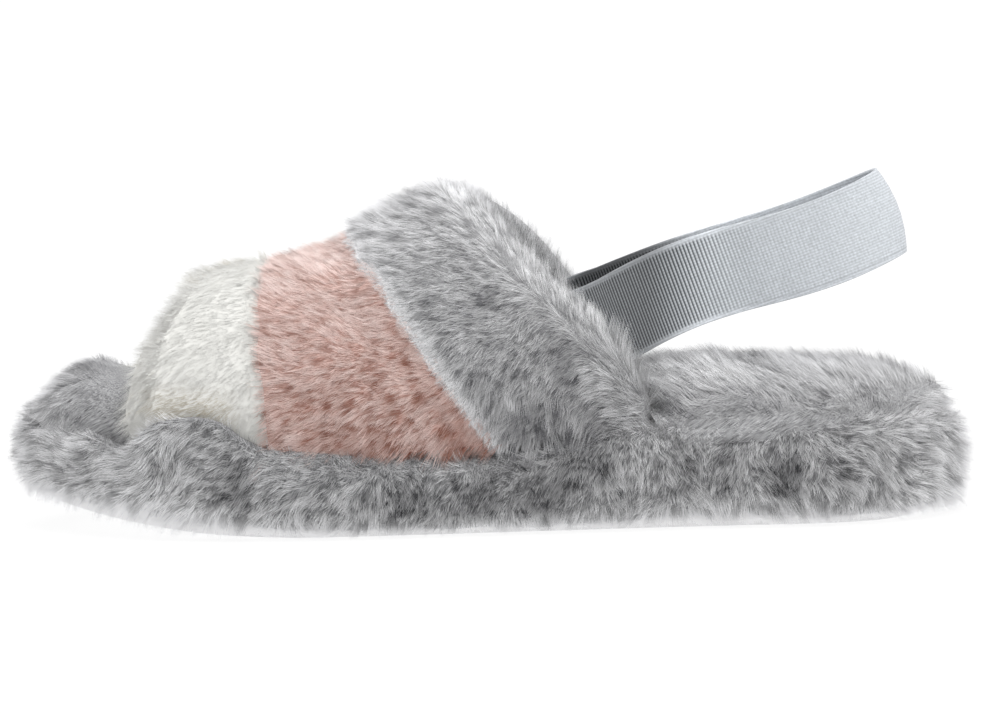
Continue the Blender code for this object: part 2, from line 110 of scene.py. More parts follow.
floor_mesh = bpy.data.meshes.new("floor")
corners = [(-FLOOR_HALF, -FLOOR_HALF, 0), (FLOOR_HALF, -FLOOR_HALF, 0)]
corners += [(FLOOR_HALF, FLOOR_HALF, 0), (-FLOOR_HALF, FLOOR_HALF, 0)]
floor_mesh.from_pydata(corners, [], [(0, 1, 2, 3)])
floor = bpy.data.objects.new("floor", floor_mesh)
floor_finish, floor_shader = principled("floor_white")
floor_shader.inputs["Base Color"].default_value = (FLOOR_WHITE, FLOOR_WHITE, FLOOR_WHITE, 1)
floor_shader.inputs["Emission Color"].default_value = (1, 1, 1, 1)
floor_shader.inputs["Emission Strength"].default_value = FLOOR_GLOW
floor_shader.inputs["Roughness"].default_value = 0.9
floor_shader.inputs["Specular IOR Level"].default_value = 0.1
floor_mesh.materials.append(floor_finish)
bpy.context.scene.collection.objects.link(floor)

sky = bpy.data.worlds.new("sky")
sky.use_nodes = True
sky.node_tree.nodes["Background"].inputs["Color"].default_value = (1, 1, 1, 1)
sky.node_tree.nodes["Background"].inputs["Strength"].default_value = SKY_STRENGTH
bpy.context.scene.world = sky
bpy.context.scene.view_settings.view_transform = "Standard"

LampRow = namedtuple("LampRow", "name aim spread strength")
LAMP_ROWS = [
    LampRow("overhead", (-0.06, 0.20, -1.0), 80.0, 2.6),
    LampRow("heel_side", (-0.9, 0.45, -0.55), 70.0, 0.6),
    LampRow("toe_side", (0.75, 0.65, -0.2), 80.0, 0.5),
]
for row in LAMP_ROWS:
    lamp = bpy.data.lights.new(row.name, "SUN")
    lamp.angle = math.radians(row.spread)
    lamp.energy = row.strength
    holder = bpy.data.objects.new(row.name, lamp)
    holder.rotation_euler = Vector(row.aim).to_track_quat("-Z", "Y").to_euler()
    bpy.context.scene.collection.objects.link(holder)
print("lamps:", ", ".join(row.name for row in LAMP_ROWS))

# %% [markdown]
# ## The slipper's own forms
# The coats have to sit where the solids are, so the lesson repeats the few tables that shape them: the sole's
# half widths and heights along the foot, and the crown of the band over the foot. A smooth curve runs through
# each column. All of these functions take whole arrays, in millimetres.

# %% Curves through the tables
GAP = 0.3
SOLE_LENGTH = 256.0
HEEL_END = SOLE_LENGTH / 2
HEEL_ROUND = 0.15
TOE_ROUND = 0.22

SoleRow = namedtuple("SoleRow", "station outer inner lift deck")
SOLE_ROWS = [
    SoleRow(0.00, 32.0, 32.0, 1.6, 25.0),
    SoleRow(0.07, 32.5, 32.0, 0.0, 24.6),
    SoleRow(0.22, 34.5, 32.5, 0.0, 24.0),
    SoleRow(0.42, 39.5, 31.5, 0.0, 22.5),
    SoleRow(0.58, 44.5, 37.0, 0.0, 20.5),
    SoleRow(0.70, 47.0, 43.5, 0.0, 19.5),
    SoleRow(0.80, 46.0, 46.0, 1.2, 20.6),
    SoleRow(0.90, 41.5, 44.5, 4.4, 23.8),
    SoleRow(1.00, 34.0, 41.0, 9.0, 28.0),
]
UpperRow = namedtuple("UpperRow", "x crown shift")
UPPER_ROWS = [
    UpperRow(-112.0, 51.0, 6.0),
    UpperRow(-90.0, 59.0, 5.5),
    UpperRow(-75.0, 65.0, 5.0),
    UpperRow(-58.0, 68.5, 4.5),
    UpperRow(-40.0, 73.5, 3.5),
    UpperRow(-24.0, 82.0, 2.5),
    UpperRow(-8.0, 89.0, 1.5),
    UpperRow(15.0, 94.0, 0.5),
    UpperRow(60.0, 96.0, 0.0),
]


def through(rows, key, column):
    """A cubic between each pair of rows, with slopes that never overshoot the rows."""
    places = np.array([getattr(row, key) for row in rows])
    values = np.array([getattr(row, column) for row in rows])
    secants = np.diff(values) / np.diff(places)
    before, after = secants[:-1], secants[1:]
    same_way = before * after > 0
    slopes = np.concatenate([secants[:1], np.zeros(len(before)), secants[-1:]])
    slopes[1:-1][same_way] = (2 * before * after)[same_way] / (before + after)[same_way]

    def at(place):
        """The cubic between the two rows on either side of a place."""
        place = np.clip(place, places[0], places[-1])
        i = np.clip(np.searchsorted(places, place) - 1, 0, len(secants) - 1)
        span = places[i + 1] - places[i]
        t = (place - places[i]) / span
        ease = t * t * (3 - 2 * t)
        lead = t * (1 - t) ** 2 * span * slopes[i]
        trail = t * t * (t - 1) * span * slopes[i + 1]
        return values[i] + (values[i + 1] - values[i]) * ease + lead + trail

    return at


outer_width = through(SOLE_ROWS, "station", "outer")
inner_width = through(SOLE_ROWS, "station", "inner")
lift_at = through(SOLE_ROWS, "station", "lift")
deck_at = through(SOLE_ROWS, "station", "deck")
crown_at = through(UPPER_ROWS, "x", "crown")
shift_at = through(UPPER_ROWS, "x", "shift")


def station_of(x):
    """The share of the sole's length from the heel."""
    return (HEEL_END - x) / SOLE_LENGTH


def smooth_step(low, high, value):
    """Rises from 0 at low to 1 at high, level at both ends."""
    t = np.clip((value - low) / (high - low), 0.0, 1.0)
    return t * t * (3 - 2 * t)


def zone(value, start, full, last, end):
    """Rises from 0 at start to 1 at full, and falls from 1 at last to 0 at end."""
    return smooth_step(start, full, value) * smooth_step(end, last, value)


def unit(vectors):
    """The same directions, each one unit long."""
    return vectors / np.maximum(np.linalg.norm(vectors, axis=-1, keepdims=True), 1e-9)


print("deck at the heel and the ball:", deck_at(np.array([0.0, 0.7])))

# %% The sole's edge
EDGE_STEP = 0.002


def end_round(station):
    """Narrows both ends of the sole to quarter ellipses."""
    heel = np.clip((HEEL_ROUND - station) / HEEL_ROUND, 0.0, 1.0)
    toe = np.clip((station - 1 + TOE_ROUND) / TOE_ROUND, 0.0, 1.0)
    return np.sqrt(1 - heel**2) * np.sqrt(1 - toe**2)


def bare_edge(turn):
    """The edge from above: from the heel at turn 0, along the outer side to the toe at pi, and back."""
    station = (1 - np.cos(turn)) / 2
    outer_side = np.sin(turn) >= 0
    width = np.where(outer_side, -outer_width(station), inner_width(station))
    return np.stack([HEEL_END - SOLE_LENGTH * station, width * end_round(station)], axis=-1)


def sole_edge(turn, offset):
    """The edge moved outwards by offset, square to its own direction."""
    along = bare_edge(turn + EDGE_STEP) - bare_edge(turn - EDGE_STEP)
    inward = unit(np.stack([along[..., 1], -along[..., 0]], axis=-1))
    return bare_edge(turn) - inward * np.asarray(offset)[..., None]


ROUND_STEPS = 4000
round_turn = np.linspace(0.0, 2 * math.pi, ROUND_STEPS + 1)
round_steps = np.linalg.norm(np.diff(bare_edge(round_turn), axis=0), axis=1)
round_way = np.concatenate([[0.0], np.cumsum(round_steps)])
print(f"the sole measures {round_way[-1]:.0f} mm round its edge")

# %% The band over the foot
UPPER_INSET = 1.0
UPPER_WALL = 2.6
ARCH_POWER = 2.3
FRONT_FOOT_X = -98.0
FRONT_CROWN_X = -79.0
FRONT_CURVE = 3.0
COLLAR_FOOT_X = 43.0
COLLAR_CROWN_X = -8.0
WHITE_SEAM_FOOT_X = -61.5
WHITE_SEAM_CROWN_X = -61.0
WHITE_SEAM_BOW = -3.0
GREY_SEAM_FOOT_X = 4.0
GREY_SEAM_CROWN_X = -36.5
GREY_SEAM_CURVE = 0.62
SEAM_WAVE = 0.6
SEAM_WAVES = 17
WHITE_WAVE_START = 1.0
NORMAL_STEP_X = 1.0
NORMAL_STEP_TURN = 0.02


def upper_surface(x, turn):
    """The backing's outer face: half of a superellipse across the foot, from the outer foot to the inner."""
    station = station_of(x)
    narrow = end_round(station)
    outer_foot = UPPER_INSET - outer_width(station) * narrow
    inner_foot = inner_width(station) * narrow - UPPER_INSET
    middle = shift_at(x)
    across = np.abs(np.cos(turn)) ** (2 / ARCH_POWER)
    foot = np.where(turn < math.pi / 2, outer_foot, inner_foot)
    foot_z = deck_at(station) + GAP
    z = foot_z + (crown_at(x) - foot_z) * np.abs(np.sin(turn)) ** (2 / ARCH_POWER)
    return np.stack([x, middle + (foot - middle) * across, z], axis=-1)


def upper_normal(x, turn):
    """Square to the steps along and around the backing, pointing out."""
    inside = np.clip(turn, 2 * NORMAL_STEP_TURN, math.pi - 2 * NORMAL_STEP_TURN)
    along = upper_surface(x + NORMAL_STEP_X, inside) - upper_surface(x - NORMAL_STEP_X, inside)
    around = upper_surface(x, inside + NORMAL_STEP_TURN) - upper_surface(x, inside - NORMAL_STEP_TURN)
    return unit(np.cross(along, around))


def upper_point(x, turn, lift):
    """A point at a height over the backing, along its normal."""
    return upper_surface(x, turn) + upper_normal(x, turn) * np.asarray(lift)[..., None]


def front_edge(turn):
    """From the foot's place to the crown's, by a power of the sine, so that it stays forward for long."""
    return FRONT_FOOT_X + (FRONT_CROWN_X - FRONT_FOOT_X) * np.sin(turn) ** FRONT_CURVE


def collar_edge(turn):
    """From the foot's place to the crown's, by the sine of the turn."""
    return COLLAR_FOOT_X + (COLLAR_CROWN_X - COLLAR_FOOT_X) * np.sin(turn)


def white_seam(turn):
    """An almost straight line over the foot, bowed to the toe halfway up each side, with a small wave."""
    straight = WHITE_SEAM_FOOT_X + (WHITE_SEAM_CROWN_X - WHITE_SEAM_FOOT_X) * np.sin(turn)
    wave = SEAM_WAVE * np.sin(SEAM_WAVES * turn + WHITE_WAVE_START) * np.sin(turn)
    return straight + wave + WHITE_SEAM_BOW * np.sin(2 * turn) ** 2


def grey_seam(turn):
    """From the foot's place to the crown's, by a power of the sine, with a small wave."""
    wave = SEAM_WAVE * np.sin(SEAM_WAVES * turn) * np.sin(turn)
    return wave + GREY_SEAM_FOOT_X + (GREY_SEAM_CROWN_X - GREY_SEAM_FOOT_X) * np.sin(turn) ** GREY_SEAM_CURVE


print("crown of the band at its seams:", crown_at(np.array([WHITE_SEAM_CROWN_X, GREY_SEAM_CROWN_X])))

# %% [markdown]
# ## From arrays to meshes
# A coat is one mesh with hundreds of thousands of corners, so it is never built point by point. A shape
# holds its points and faces as arrays, with two numbers for each point: how far along a hair it is, and the
# hair's own tone. Several shapes are joined by shifting their face numbers, and the mesh takes the arrays
# whole.

# %% Shapes and pieces
Shape = namedtuple("Shape", "points normals quads triangles along tone finish")
NO_QUADS = np.zeros((0, 4), int)
NO_TRIANGLES = np.zeros((0, 3), int)
triangle_count = {}


def grid_quads(rows, columns, wrap_rows=False, wrap_columns=False):
    """Faces between the neighbours of a grid, whose points are numbered row by row."""
    i = np.arange(rows if wrap_rows else rows - 1)[:, None]
    j = np.arange(columns if wrap_columns else columns - 1)[None, :]
    next_i = (i + 1) % rows
    next_j = (j + 1) % columns
    quads = [i * columns + j, i * columns + next_j, next_i * columns + next_j, next_i * columns + j]
    return np.stack(quads, axis=-1).reshape(-1, 4)


def facing_out(points, quads):
    """Turns the faces of a closed shape round if its signed volume is negative."""
    a, b, c, d = (points[quads[:, k]] for k in range(4))
    volume = np.sum(np.cross(a, b) * c) + np.sum(np.cross(a, c) * d)
    return quads if volume > 0 else quads[:, ::-1]


def shell(outside, inside, finish):
    """A closed sheet: two grids of the same size, joined by strips along their four borders."""
    rows, columns = outside.shape[:2]
    points = np.concatenate([outside.reshape(-1, 3), inside.reshape(-1, 3)])
    number = np.arange(rows * columns).reshape(rows, columns)
    border = np.concatenate([number[0, :-1], number[:-1, -1], number[-1, :0:-1], number[:0:-1, 0]])
    beyond = np.roll(border, -1)
    half = rows * columns
    rim = np.stack([border, border + half, beyond + half, beyond], axis=1)
    face = grid_quads(rows, columns)
    quads = facing_out(points, np.concatenate([face, face[:, ::-1] + half, rim]))
    zero = np.zeros(len(points))
    return Shape(points, np.zeros_like(points), quads, NO_TRIANGLES, zero, zero + 0.5, finish)


def make_piece(name, shapes, finishes, slot, *nodes):
    """Joins shapes into one object, in metres, which rides on the shoe and stands for the named solids."""
    first = np.cumsum([0] + [len(shape.points) for shape in shapes])
    points = np.concatenate([shape.points for shape in shapes]) * MM
    quads = np.concatenate([shape.quads + start for shape, start in zip(shapes, first)])
    triangles = np.concatenate([shape.triangles + start for shape, start in zip(shapes, first)])
    finish = [np.full(len(shape.quads), shape.finish) for shape in shapes]
    finish += [np.full(len(shape.triangles), shape.finish) for shape in shapes]
    starts = [np.arange(len(quads)) * 4, len(quads) * 4 + np.arange(len(triangles)) * 3]
    mesh = bpy.data.meshes.new(name)
    mesh.vertices.add(len(points))
    mesh.vertices.foreach_set("co", points.ravel())
    mesh.loops.add(len(quads) * 4 + len(triangles) * 3)
    mesh.loops.foreach_set("vertex_index", np.concatenate([quads.ravel(), triangles.ravel()]))
    mesh.polygons.add(len(quads) + len(triangles))
    mesh.polygons.foreach_set("loop_start", np.concatenate(starts))
    mesh.polygons.foreach_set("material_index", np.concatenate(finish))
    mesh.update(calc_edges=True)
    mesh.shade_smooth()
    for label in ("along", "tone"):
        values = np.concatenate([getattr(shape, label) for shape in shapes])
        mesh.attributes.new(label, "FLOAT", "POINT").data.foreach_set("value", values)
    mesh.normals_split_custom_set_from_vertices(np.concatenate([shape.normals for shape in shapes]))
    for made in finishes:
        mesh.materials.append(made)
    piece = bpy.data.objects.new(name, mesh)
    bpy.context.scene.collection.objects.link(piece)
    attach(piece, "root")
    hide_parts(*nodes)
    triangle_count[name] = 2 * len(quads) + len(triangles)
    print(f"{name}: {triangle_count[name]} triangles")
    return piece


# %% [markdown]
# ## Hairs
# A hair is a thin closed spike: three corners at its root and one at its tip, four triangles in all. It
# starts a little inside the undercoat. Hairs that share a lock draw their tips together, and here and there
# a small fleck of the coat is painted darker, as painted shade where the pile opens. The lay is a direction
# in space, laid flat on the skin, with a slow swirl added, so the coat looks combed by hand and not by a
# rule. A real fibre is far thinner than these spikes, so their corners face mostly as the skin does, and
# light falls softly over them. A coat's row of numbers gives the hair's length and stand, its width, the size
# and pull of the locks, the swirl, how far hairs stray, how softly they face, the share of flecks of painted
# shade, and how uneven the tones are.

# %% Random fields, locks and places
WAVES = 6
LOCK_POOL = (257, 263)
SURFACE_STEP = 0.4
Coat = namedtuple("Coat", "length stand width lock pull swirl swirl_size stray soft flecks uneven seed")


def wander(a, b, size, seed):
    """A smooth random field of about -1 to 1: sine waves of about that size, in random directions."""
    rng = np.random.default_rng(seed)
    heading, phase = rng.uniform(0, 2 * math.pi, (2, WAVES))
    reach = size * rng.uniform(0.7, 1.6, WAVES)
    way = a[..., None] * np.cos(heading) + b[..., None] * np.sin(heading)
    return np.sin(2 * math.pi * way / reach + phase).sum(axis=-1) / math.sqrt(WAVES)


def lock_of(a, b, size, seed):
    """The middle of each place's lock and six random numbers of its own, from a grid bent by slow waves."""
    bend_a = 0.5 * size * wander(a, b, 5 * size, seed + 1)
    bend_b = 0.5 * size * wander(a, b, 5 * size, seed + 2)
    i = np.floor((a + bend_a) / size).astype(int)
    j = np.floor((b + bend_b) / size).astype(int)
    pool = np.random.default_rng(seed + 3).random((*LOCK_POOL, 6))
    luck = pool[i % LOCK_POOL[0], j % LOCK_POOL[1]]
    middle_a = (i + 0.25 + 0.5 * luck[:, 0]) * size - bend_a
    middle_b = (j + 0.25 + 0.5 * luck[:, 1]) * size - bend_b
    return middle_a, middle_b, luck


def skin_at(surface, a, b):
    """A surface's point, its outward normal and its area for each unit step of its two parameters."""
    step_a = surface(a + SURFACE_STEP, b) - surface(a - SURFACE_STEP, b)
    step_b = surface(a, b + SURFACE_STEP) - surface(a, b - SURFACE_STEP)
    square = np.cross(step_b, step_a)
    return surface(a, b), unit(square), np.linalg.norm(square, axis=-1)


def scatter(surface, count, a_span, b_span, share, seed):
    """Places spread over a surface: random parameters, kept in proportion to the area there and to share."""
    rng = np.random.default_rng(seed)
    a = rng.uniform(*a_span, 8 * count)
    b = rng.uniform(*b_span, 8 * count)
    point, _, area = skin_at(surface, a, b)
    weight = area * share(a, b, point)
    ceiling = np.percentile(weight, 99.5)
    kept = np.nonzero(rng.uniform(0, ceiling, len(a)) < weight)[0][:count]
    return a[kept], b[kept]


print(f"each random field is a sum of {WAVES} waves")

# %% One coat of hairs
ROOT_SINK = 1.4
RIDGE = 0.76
FLOOR_CLEAR = 0.25
FLOOR_UNEVEN = 1.3
LOCK_STAND = 0.8
OWN_STAND = 0.25
FLECK_SIZE = 1.0
FLECK_LONG = 2.2
FLECK_PAINTED_SHADE = 0.8
PATCH_SIZE = 18.0
LOCK_TONE = 0.42
OWN_TONE = 0.08
PATCH_TONE = 0.1
SPIKE_SIDES = np.array([[0, 1, 3], [1, 2, 3], [2, 0, 3], [2, 1, 0]])
SPIKE_ALONG = np.array([0.0, 0.0, 0.0, 1.0])


def hairs(surface, a, b, lay, coat, seed, scale, painted_light_and_shade, fall):
    """Closed three-sided spikes on a surface.

    A hair rises at the stand angle along the lay, which is turned by the swirl. Its tip moves towards the
    tip of the hair in the middle of its lock, and sinks by the fall, which differs from lock to lock. Its
    tone is that of its lock, with a little of its own and of the patch it is in, less in a fleck of painted
    shade, and raised or lowered by the painted light and shade it is given.
    """
    rng = np.random.default_rng(seed)
    count = len(a)
    middle_a, middle_b, luck = lock_of(a, b, coat.lock, coat.seed)
    swirl = coat.swirl * wander(middle_a, middle_b, coat.swirl_size, coat.seed + 5)
    lock_yaw = swirl + 1.2 * coat.stray * (luck[:, 2] - 0.5)
    lock_stand = coat.stand * (1 + LOCK_STAND * (luck[:, 3] - 0.5))
    length = coat.length * scale * (0.75 + 0.5 * luck[:, 4])

    def reach(at_a, at_b, long, yaw, stand):
        """The skin's point and normal, and the end of a hair that leaves it at the yaw and the stand."""
        point, normal, _ = skin_at(surface, at_a, at_b)
        comb = lay(at_a, at_b, point, normal)
        comb = unit(comb - normal * np.sum(comb * normal, axis=1, keepdims=True))
        yaw, stand = np.radians(yaw)[:, None], np.radians(stand)[:, None]
        comb = comb * np.cos(yaw) + np.cross(normal, comb) * np.sin(yaw)
        return point, normal, point + long[:, None] * (normal * np.sin(stand) + comb * np.cos(stand))

    own_yaw = lock_yaw + coat.stray * rng.normal(0, 0.5, count)
    own_stand = lock_stand + OWN_STAND * coat.stand * rng.normal(0, 1, count)
    point, normal, tip = reach(a, b, length * rng.uniform(0.7, 1.2, count), own_yaw, own_stand)
    lock_tip = reach(middle_a, middle_b, length, lock_yaw, lock_stand)[2]
    tip = tip + (lock_tip - tip) * (coat.pull * rng.uniform(0.4, 1.0, count))[:, None]
    tip[:, 2] = tip[:, 2] - fall * (0.3 + 1.4 * luck[:, 1])
    root = point - normal * ROOT_SINK * math.sin(math.radians(coat.stand))
    way = unit(tip - root)
    across = unit(np.cross(normal, way))
    ridge = np.cross(way, across)
    half = coat.width * rng.uniform(0.7, 1.25, count)[:, None] / 2
    points = np.stack([root + across * half, root + ridge * half * RIDGE, root - across * half, tip], axis=1)
    points[..., 2] = np.maximum(points[..., 2], FLOOR_CLEAR + FLOOR_UNEVEN * luck[:, :1])
    own = np.stack([across, ridge, -across, way], axis=1)
    facing = unit(coat.soft * normal[:, None] + (1 - coat.soft) * own)
    # A fleck is painted shade, as where the pile opens; each hair's tone also takes the painted light and
    # shade it is given.
    fleck_place = point[:, 0] / FLECK_LONG, point[:, 2] + 0.7 * point[:, 1]
    fleck = lock_of(*fleck_place, FLECK_SIZE, coat.seed + 9)[2][:, 0] < coat.flecks
    patch = wander(a, b, PATCH_SIZE, coat.seed + 6)
    spread = LOCK_TONE * (luck[:, 5] - 0.5) + OWN_TONE * rng.normal(0, 1, count) + PATCH_TONE * patch
    tone = 0.5 + coat.uneven * spread - FLECK_PAINTED_SHADE * fleck + painted_light_and_shade
    triangles = SPIKE_SIDES + 4 * np.arange(count)[:, None, None]
    return Shape(
        points.reshape(-1, 3),
        facing.reshape(-1, 3),
        NO_QUADS,
        triangles.reshape(-1, 3),
        np.tile(SPIKE_ALONG, count),
        np.repeat(tone, 4),
        0,
    )


DentRow = namedtuple("DentRow", "x z radius depth")
DENT_ROWS = [
    DentRow(2.0, 66.0, 4.0, 0.7),
    DentRow(25.0, 50.5, 4.0, 0.8),
    DentRow(11.0, 34.5, 3.5, 0.7),
    DentRow(29.0, 24.0, 6.0, 0.7),
    DentRow(-36.0, 24.5, 4.0, 0.6),
    DentRow(-3.0, 11.5, 5.0, 1.2),
    DentRow(14.0, 13.0, 6.5, 1.2),
    DentRow(82.0, 15.0, 6.0, 0.6),
    DentRow(-24.0, 13.0, 5.0, 0.6),
    DentRow(-70.0, 15.0, 6.0, 0.5),
]
DENT_SHORTER = 0.35


def dent(point):
    """The hollows in the outer side, at the listed places: a smooth dip round each place in the table."""
    x, y, z = (point[:, k, None] for k in range(3))
    table = np.array(DENT_ROWS)
    away = ((x - table[:, 0]) ** 2 + (z - table[:, 1]) ** 2) / table[:, 2] ** 2
    return np.sum(table[:, 3] * np.exp(-away) * (y < 0), axis=1)


def no_change(a, b, point):
    """0 at each place."""
    return np.zeros(len(a))


def everywhere(a, b, point):
    """1 at each place."""
    return np.ones(len(a))


def fur(
    surface, spans, count, lay, coat, seed,
    share=everywhere, scale=everywhere, painted_light_and_shade=no_change, fall=no_change,
):
    """A coat: places scattered over a surface, with a hair on each, shorter in the dents and painted darker
    there, as painted shade.
    """
    a, b = scatter(surface, count, *spans, share, seed)
    point = surface(a, b)
    # In a dent the hairs are shorter, and their tone is painted darker, as the shade in a hollow.
    hollow = dent(point)
    length = scale(a, b, point) * (1 - DENT_SHORTER * hollow)
    return hairs(surface, a, b, lay, coat, seed + 1, length, painted_light_and_shade(a, b, point) - hollow, fall(a, b, point))


print(f"a hair has {len(SPIKE_SIDES)} triangles")

# %% [markdown]
# ## Fur finish
# Long pile fibre is painted darkest at its root, as the shade where little light gets in, and palest at its
# tip.
# The finish reads each hair's own place along and tone, so the colour follows the hair and not the shape
# below.
# The tone tints the whole hair: deep in a dark lock and in a fleck of painted shade, pale in a light lock and
# where light is painted. Fibre is a soft satin: rough, with a weak highlight.
# The undercoat between the hairs is short dense fibre, drawn as fine streaks along the lay with some bump.
# A few helpers add one node each and return its output, so that a finish reads like a sum.

# %% Nodes of a finish
def link(material, source, target):
    """Joins an output to an input."""
    material.node_tree.links.new(source, target)


def add_node(material, kind, *sources):
    """A new node, with the given outputs linked to its first inputs."""
    node = material.node_tree.nodes.new(kind)
    for source, target in zip(sources, node.inputs):
        link(material, source, target)
    return node


def attribute(material, name):
    """One of the mesh's own numbers."""
    node = add_node(material, "ShaderNodeAttribute")
    node.attribute_name = name
    return node.outputs["Fac"]


def ramp(material, value, stops):
    """A colour that runs through the given places and linear colours."""
    node = add_node(material, "ShaderNodeValToRGB", value)
    while len(node.color_ramp.elements) < len(stops):
        node.color_ramp.elements.new(0.5)
    for element, (place, colour) in zip(node.color_ramp.elements, stops):
        element.position = place
        element.color = (*colour, 1)
    return node.outputs["Color"]


def spread_over(material, value, low, high, start=0.0, end=1.0):
    """The value moved from the span of start to end into the span of low to high."""
    node = add_node(material, "ShaderNodeMapRange", value)
    node.inputs["From Min"].default_value = start
    node.inputs["From Max"].default_value = end
    node.inputs["To Min"].default_value = low
    node.inputs["To Max"].default_value = high
    return node.outputs["Result"]


def number_math(material, operation, *values):
    """A sum on numbers, such as a product or a sine."""
    node = add_node(material, "ShaderNodeMath", *values)
    node.operation = operation
    return node.outputs["Value"]


def scaled(material, colour, factor):
    """A colour times a number."""
    node = add_node(material, "ShaderNodeVectorMath", colour)
    node.operation = "SCALE"
    link(material, factor, node.inputs["Scale"])
    return node.outputs["Vector"]


def noise(material, place, scale, detail):
    """A smooth random value of about 0 to 1 at each place."""
    node = add_node(material, "ShaderNodeTexNoise", place)
    node.inputs["Scale"].default_value = scale
    node.inputs["Detail"].default_value = detail
    return node.outputs["Fac"]


def add_bump(material, shader, height, strength, distance):
    """Lets a value stand out as fine relief."""
    node = add_node(material, "ShaderNodeBump")
    node.inputs["Strength"].default_value = strength
    node.inputs["Distance"].default_value = distance
    link(material, height, node.inputs["Height"])
    link(material, node.outputs["Normal"], shader.inputs["Normal"])


print("node helpers: attribute, ramp, span, math, scale, noise, bump")

# %% Hair and undercoat finishes
FIBRE_ROUGHNESS = 0.7
FIBRE_SPECULAR = 0.15
FIBRE_SHEEN = 0.12
BODY_PLACE = 0.45
TONE_LOW = -0.5
TONE_HIGH = 1.3
TONE_MIDDLE = (0.5 - TONE_LOW) / (TONE_HIGH - TONE_LOW)


def fur_finish(name, root, body, tip, deep, pale):
    """A hair's colour runs from root, in painted shade, to body to tip, times a tint: deep in a dark lock
    and in a fleck of painted shade, pale in a light lock and where light is painted.
    """
    material, shader = principled(name)
    fibre = ramp(material, attribute(material, "along"), [(0.0, root), (BODY_PLACE, body), (1.0, tip)])
    place = spread_over(material, attribute(material, "tone"), 0.0, 1.0, TONE_LOW, TONE_HIGH)
    tint = ramp(material, place, [(0.0, deep), (TONE_MIDDLE, (1, 1, 1)), (1.0, pale)])
    shade = add_node(material, "ShaderNodeVectorMath", fibre, tint)
    shade.operation = "MULTIPLY"
    link(material, shade.outputs["Vector"], shader.inputs["Base Color"])
    shader.inputs["Roughness"].default_value = FIBRE_ROUGHNESS
    shader.inputs["Specular IOR Level"].default_value = FIBRE_SPECULAR
    shader.inputs["Sheen Weight"].default_value = FIBRE_SHEEN
    return material


STREAK_ACROSS = 3200.0
STREAK_ALONG = 320.0
STREAK_DETAIL = 3.0
STREAK_DARK_AT = 0.32
STREAK_LIGHT_AT = 0.68
NAP_HEIGHT = 0.6 * MM
NAP_ROUGHNESS = 0.9
NAP_SPECULAR = 0.1


def undercoat_finish(name, dark, light, fall=0.0, rough=0.6, by_tone=True):
    """Short dense fibre: streaks a third of a millimetre wide along the lay, which falls by an angle to the
    toe. Where it goes by tone, the colour is that of the streaks times twice the tone.
    """
    material, shader = principled(name)
    turn = add_node(material, "ShaderNodeMapping", add_node(material, "ShaderNodeTexCoord").outputs["Object"])
    turn.inputs["Rotation"].default_value = (0, math.radians(fall), 0)
    stretch = add_node(material, "ShaderNodeMapping", turn.outputs["Vector"])
    stretch.inputs["Scale"].default_value = (STREAK_ALONG, STREAK_ACROSS, STREAK_ACROSS)
    streak = noise(material, stretch.outputs["Vector"], 1.0, STREAK_DETAIL)
    colour = ramp(material, streak, [(STREAK_DARK_AT, dark), (STREAK_LIGHT_AT, light)])
    # By tone, the colour also takes the painted light along the white front, the collar's rim and the wrap's
    # fringe.
    if by_tone:
        colour = scaled(material, colour, spread_over(material, attribute(material, "tone"), 0.0, 2.0))
    link(material, colour, shader.inputs["Base Color"])
    add_bump(material, shader, streak, rough, NAP_HEIGHT)
    shader.inputs["Roughness"].default_value = NAP_ROUGHNESS
    shader.inputs["Specular IOR Level"].default_value = NAP_SPECULAR
    return material


grey_hair = fur_finish(
    "grey_fur",
    root=(0.38, 0.38, 0.385),
    body=(0.68, 0.68, 0.69),
    tip=(0.89, 0.89, 0.905),
    deep=(0.18, 0.18, 0.19),
    pale=(1.4, 1.4, 1.4),
)
wrap_hair = fur_finish(
    "wrap_fur",
    root=(0.28, 0.28, 0.285),
    body=(0.68, 0.68, 0.69),
    tip=(0.95, 0.95, 0.965),
    deep=(0.07, 0.07, 0.075),
    pale=(1.5, 1.5, 1.5),
)
# The white's deep tint is a warm cream, which also gives the painted shade beside the wrap's lump.
white_hair = fur_finish(
    "white_fur",
    root=(0.685, 0.681, 0.65),
    body=(0.70, 0.696, 0.666),
    tip=(0.715, 0.712, 0.683),
    deep=(0.74, 0.67, 0.55),
    pale=(1.3, 1.3, 1.31),
)
pink_hair = fur_finish(
    "pink_fur",
    root=(0.64, 0.42, 0.375),
    body=(0.93, 0.695, 0.64),
    tip=(0.99, 0.85, 0.80),
    deep=(0.40, 0.23, 0.18),
    pale=(1.06, 1.1, 1.12),
)
grey_under = undercoat_finish("grey_undercoat", (0.20, 0.20, 0.205), (0.52, 0.52, 0.53), 30)
wrap_under = undercoat_finish("wrap_undercoat", (0.10, 0.10, 0.105), (0.42, 0.42, 0.425), 60)
white_under = undercoat_finish("white_undercoat", (0.68, 0.676, 0.645), (0.705, 0.701, 0.67), 25, 0.1)
pink_under = undercoat_finish("pink_undercoat", (0.42, 0.225, 0.18), (0.76, 0.51, 0.455), 22)
print("fur finishes: grey, wrap, white, pink")

# %% [markdown]
# ## Sole wrap
# The side of the foam is covered with a strip of the longest fur. In section the strip is a fat D, from the
# top edge of the foam to just over the floor. The undercoat is that D carried round the sole's edge, and the
# hairs stand on it. A table along the foot says how far the D rises over the deck and reaches out at its top,
# how much the top hairs point up, how far the hairs fall below level, and how high the hem is off the floor.
# So the lump beside the white panel and the fan at the heel are placed one by one, as on the real thing.

# %% The wrap's section carried round the sole
WRAP_UNDERCOAT = 5.8
WRAP_HEEL_EXTRA = 1.6
WRAP_SQUARE = 2.8
WRAP_HEIGHT = 26.0
WRAP_RELIEF = 0.9
RELIEF_SIZE = 24.0
HEM_RELIEF = 0.8
HEEL_EXTRA_FROM = 106.0
HEEL_EXTRA_FULL = 128.0
REACH_FROM = 0.45

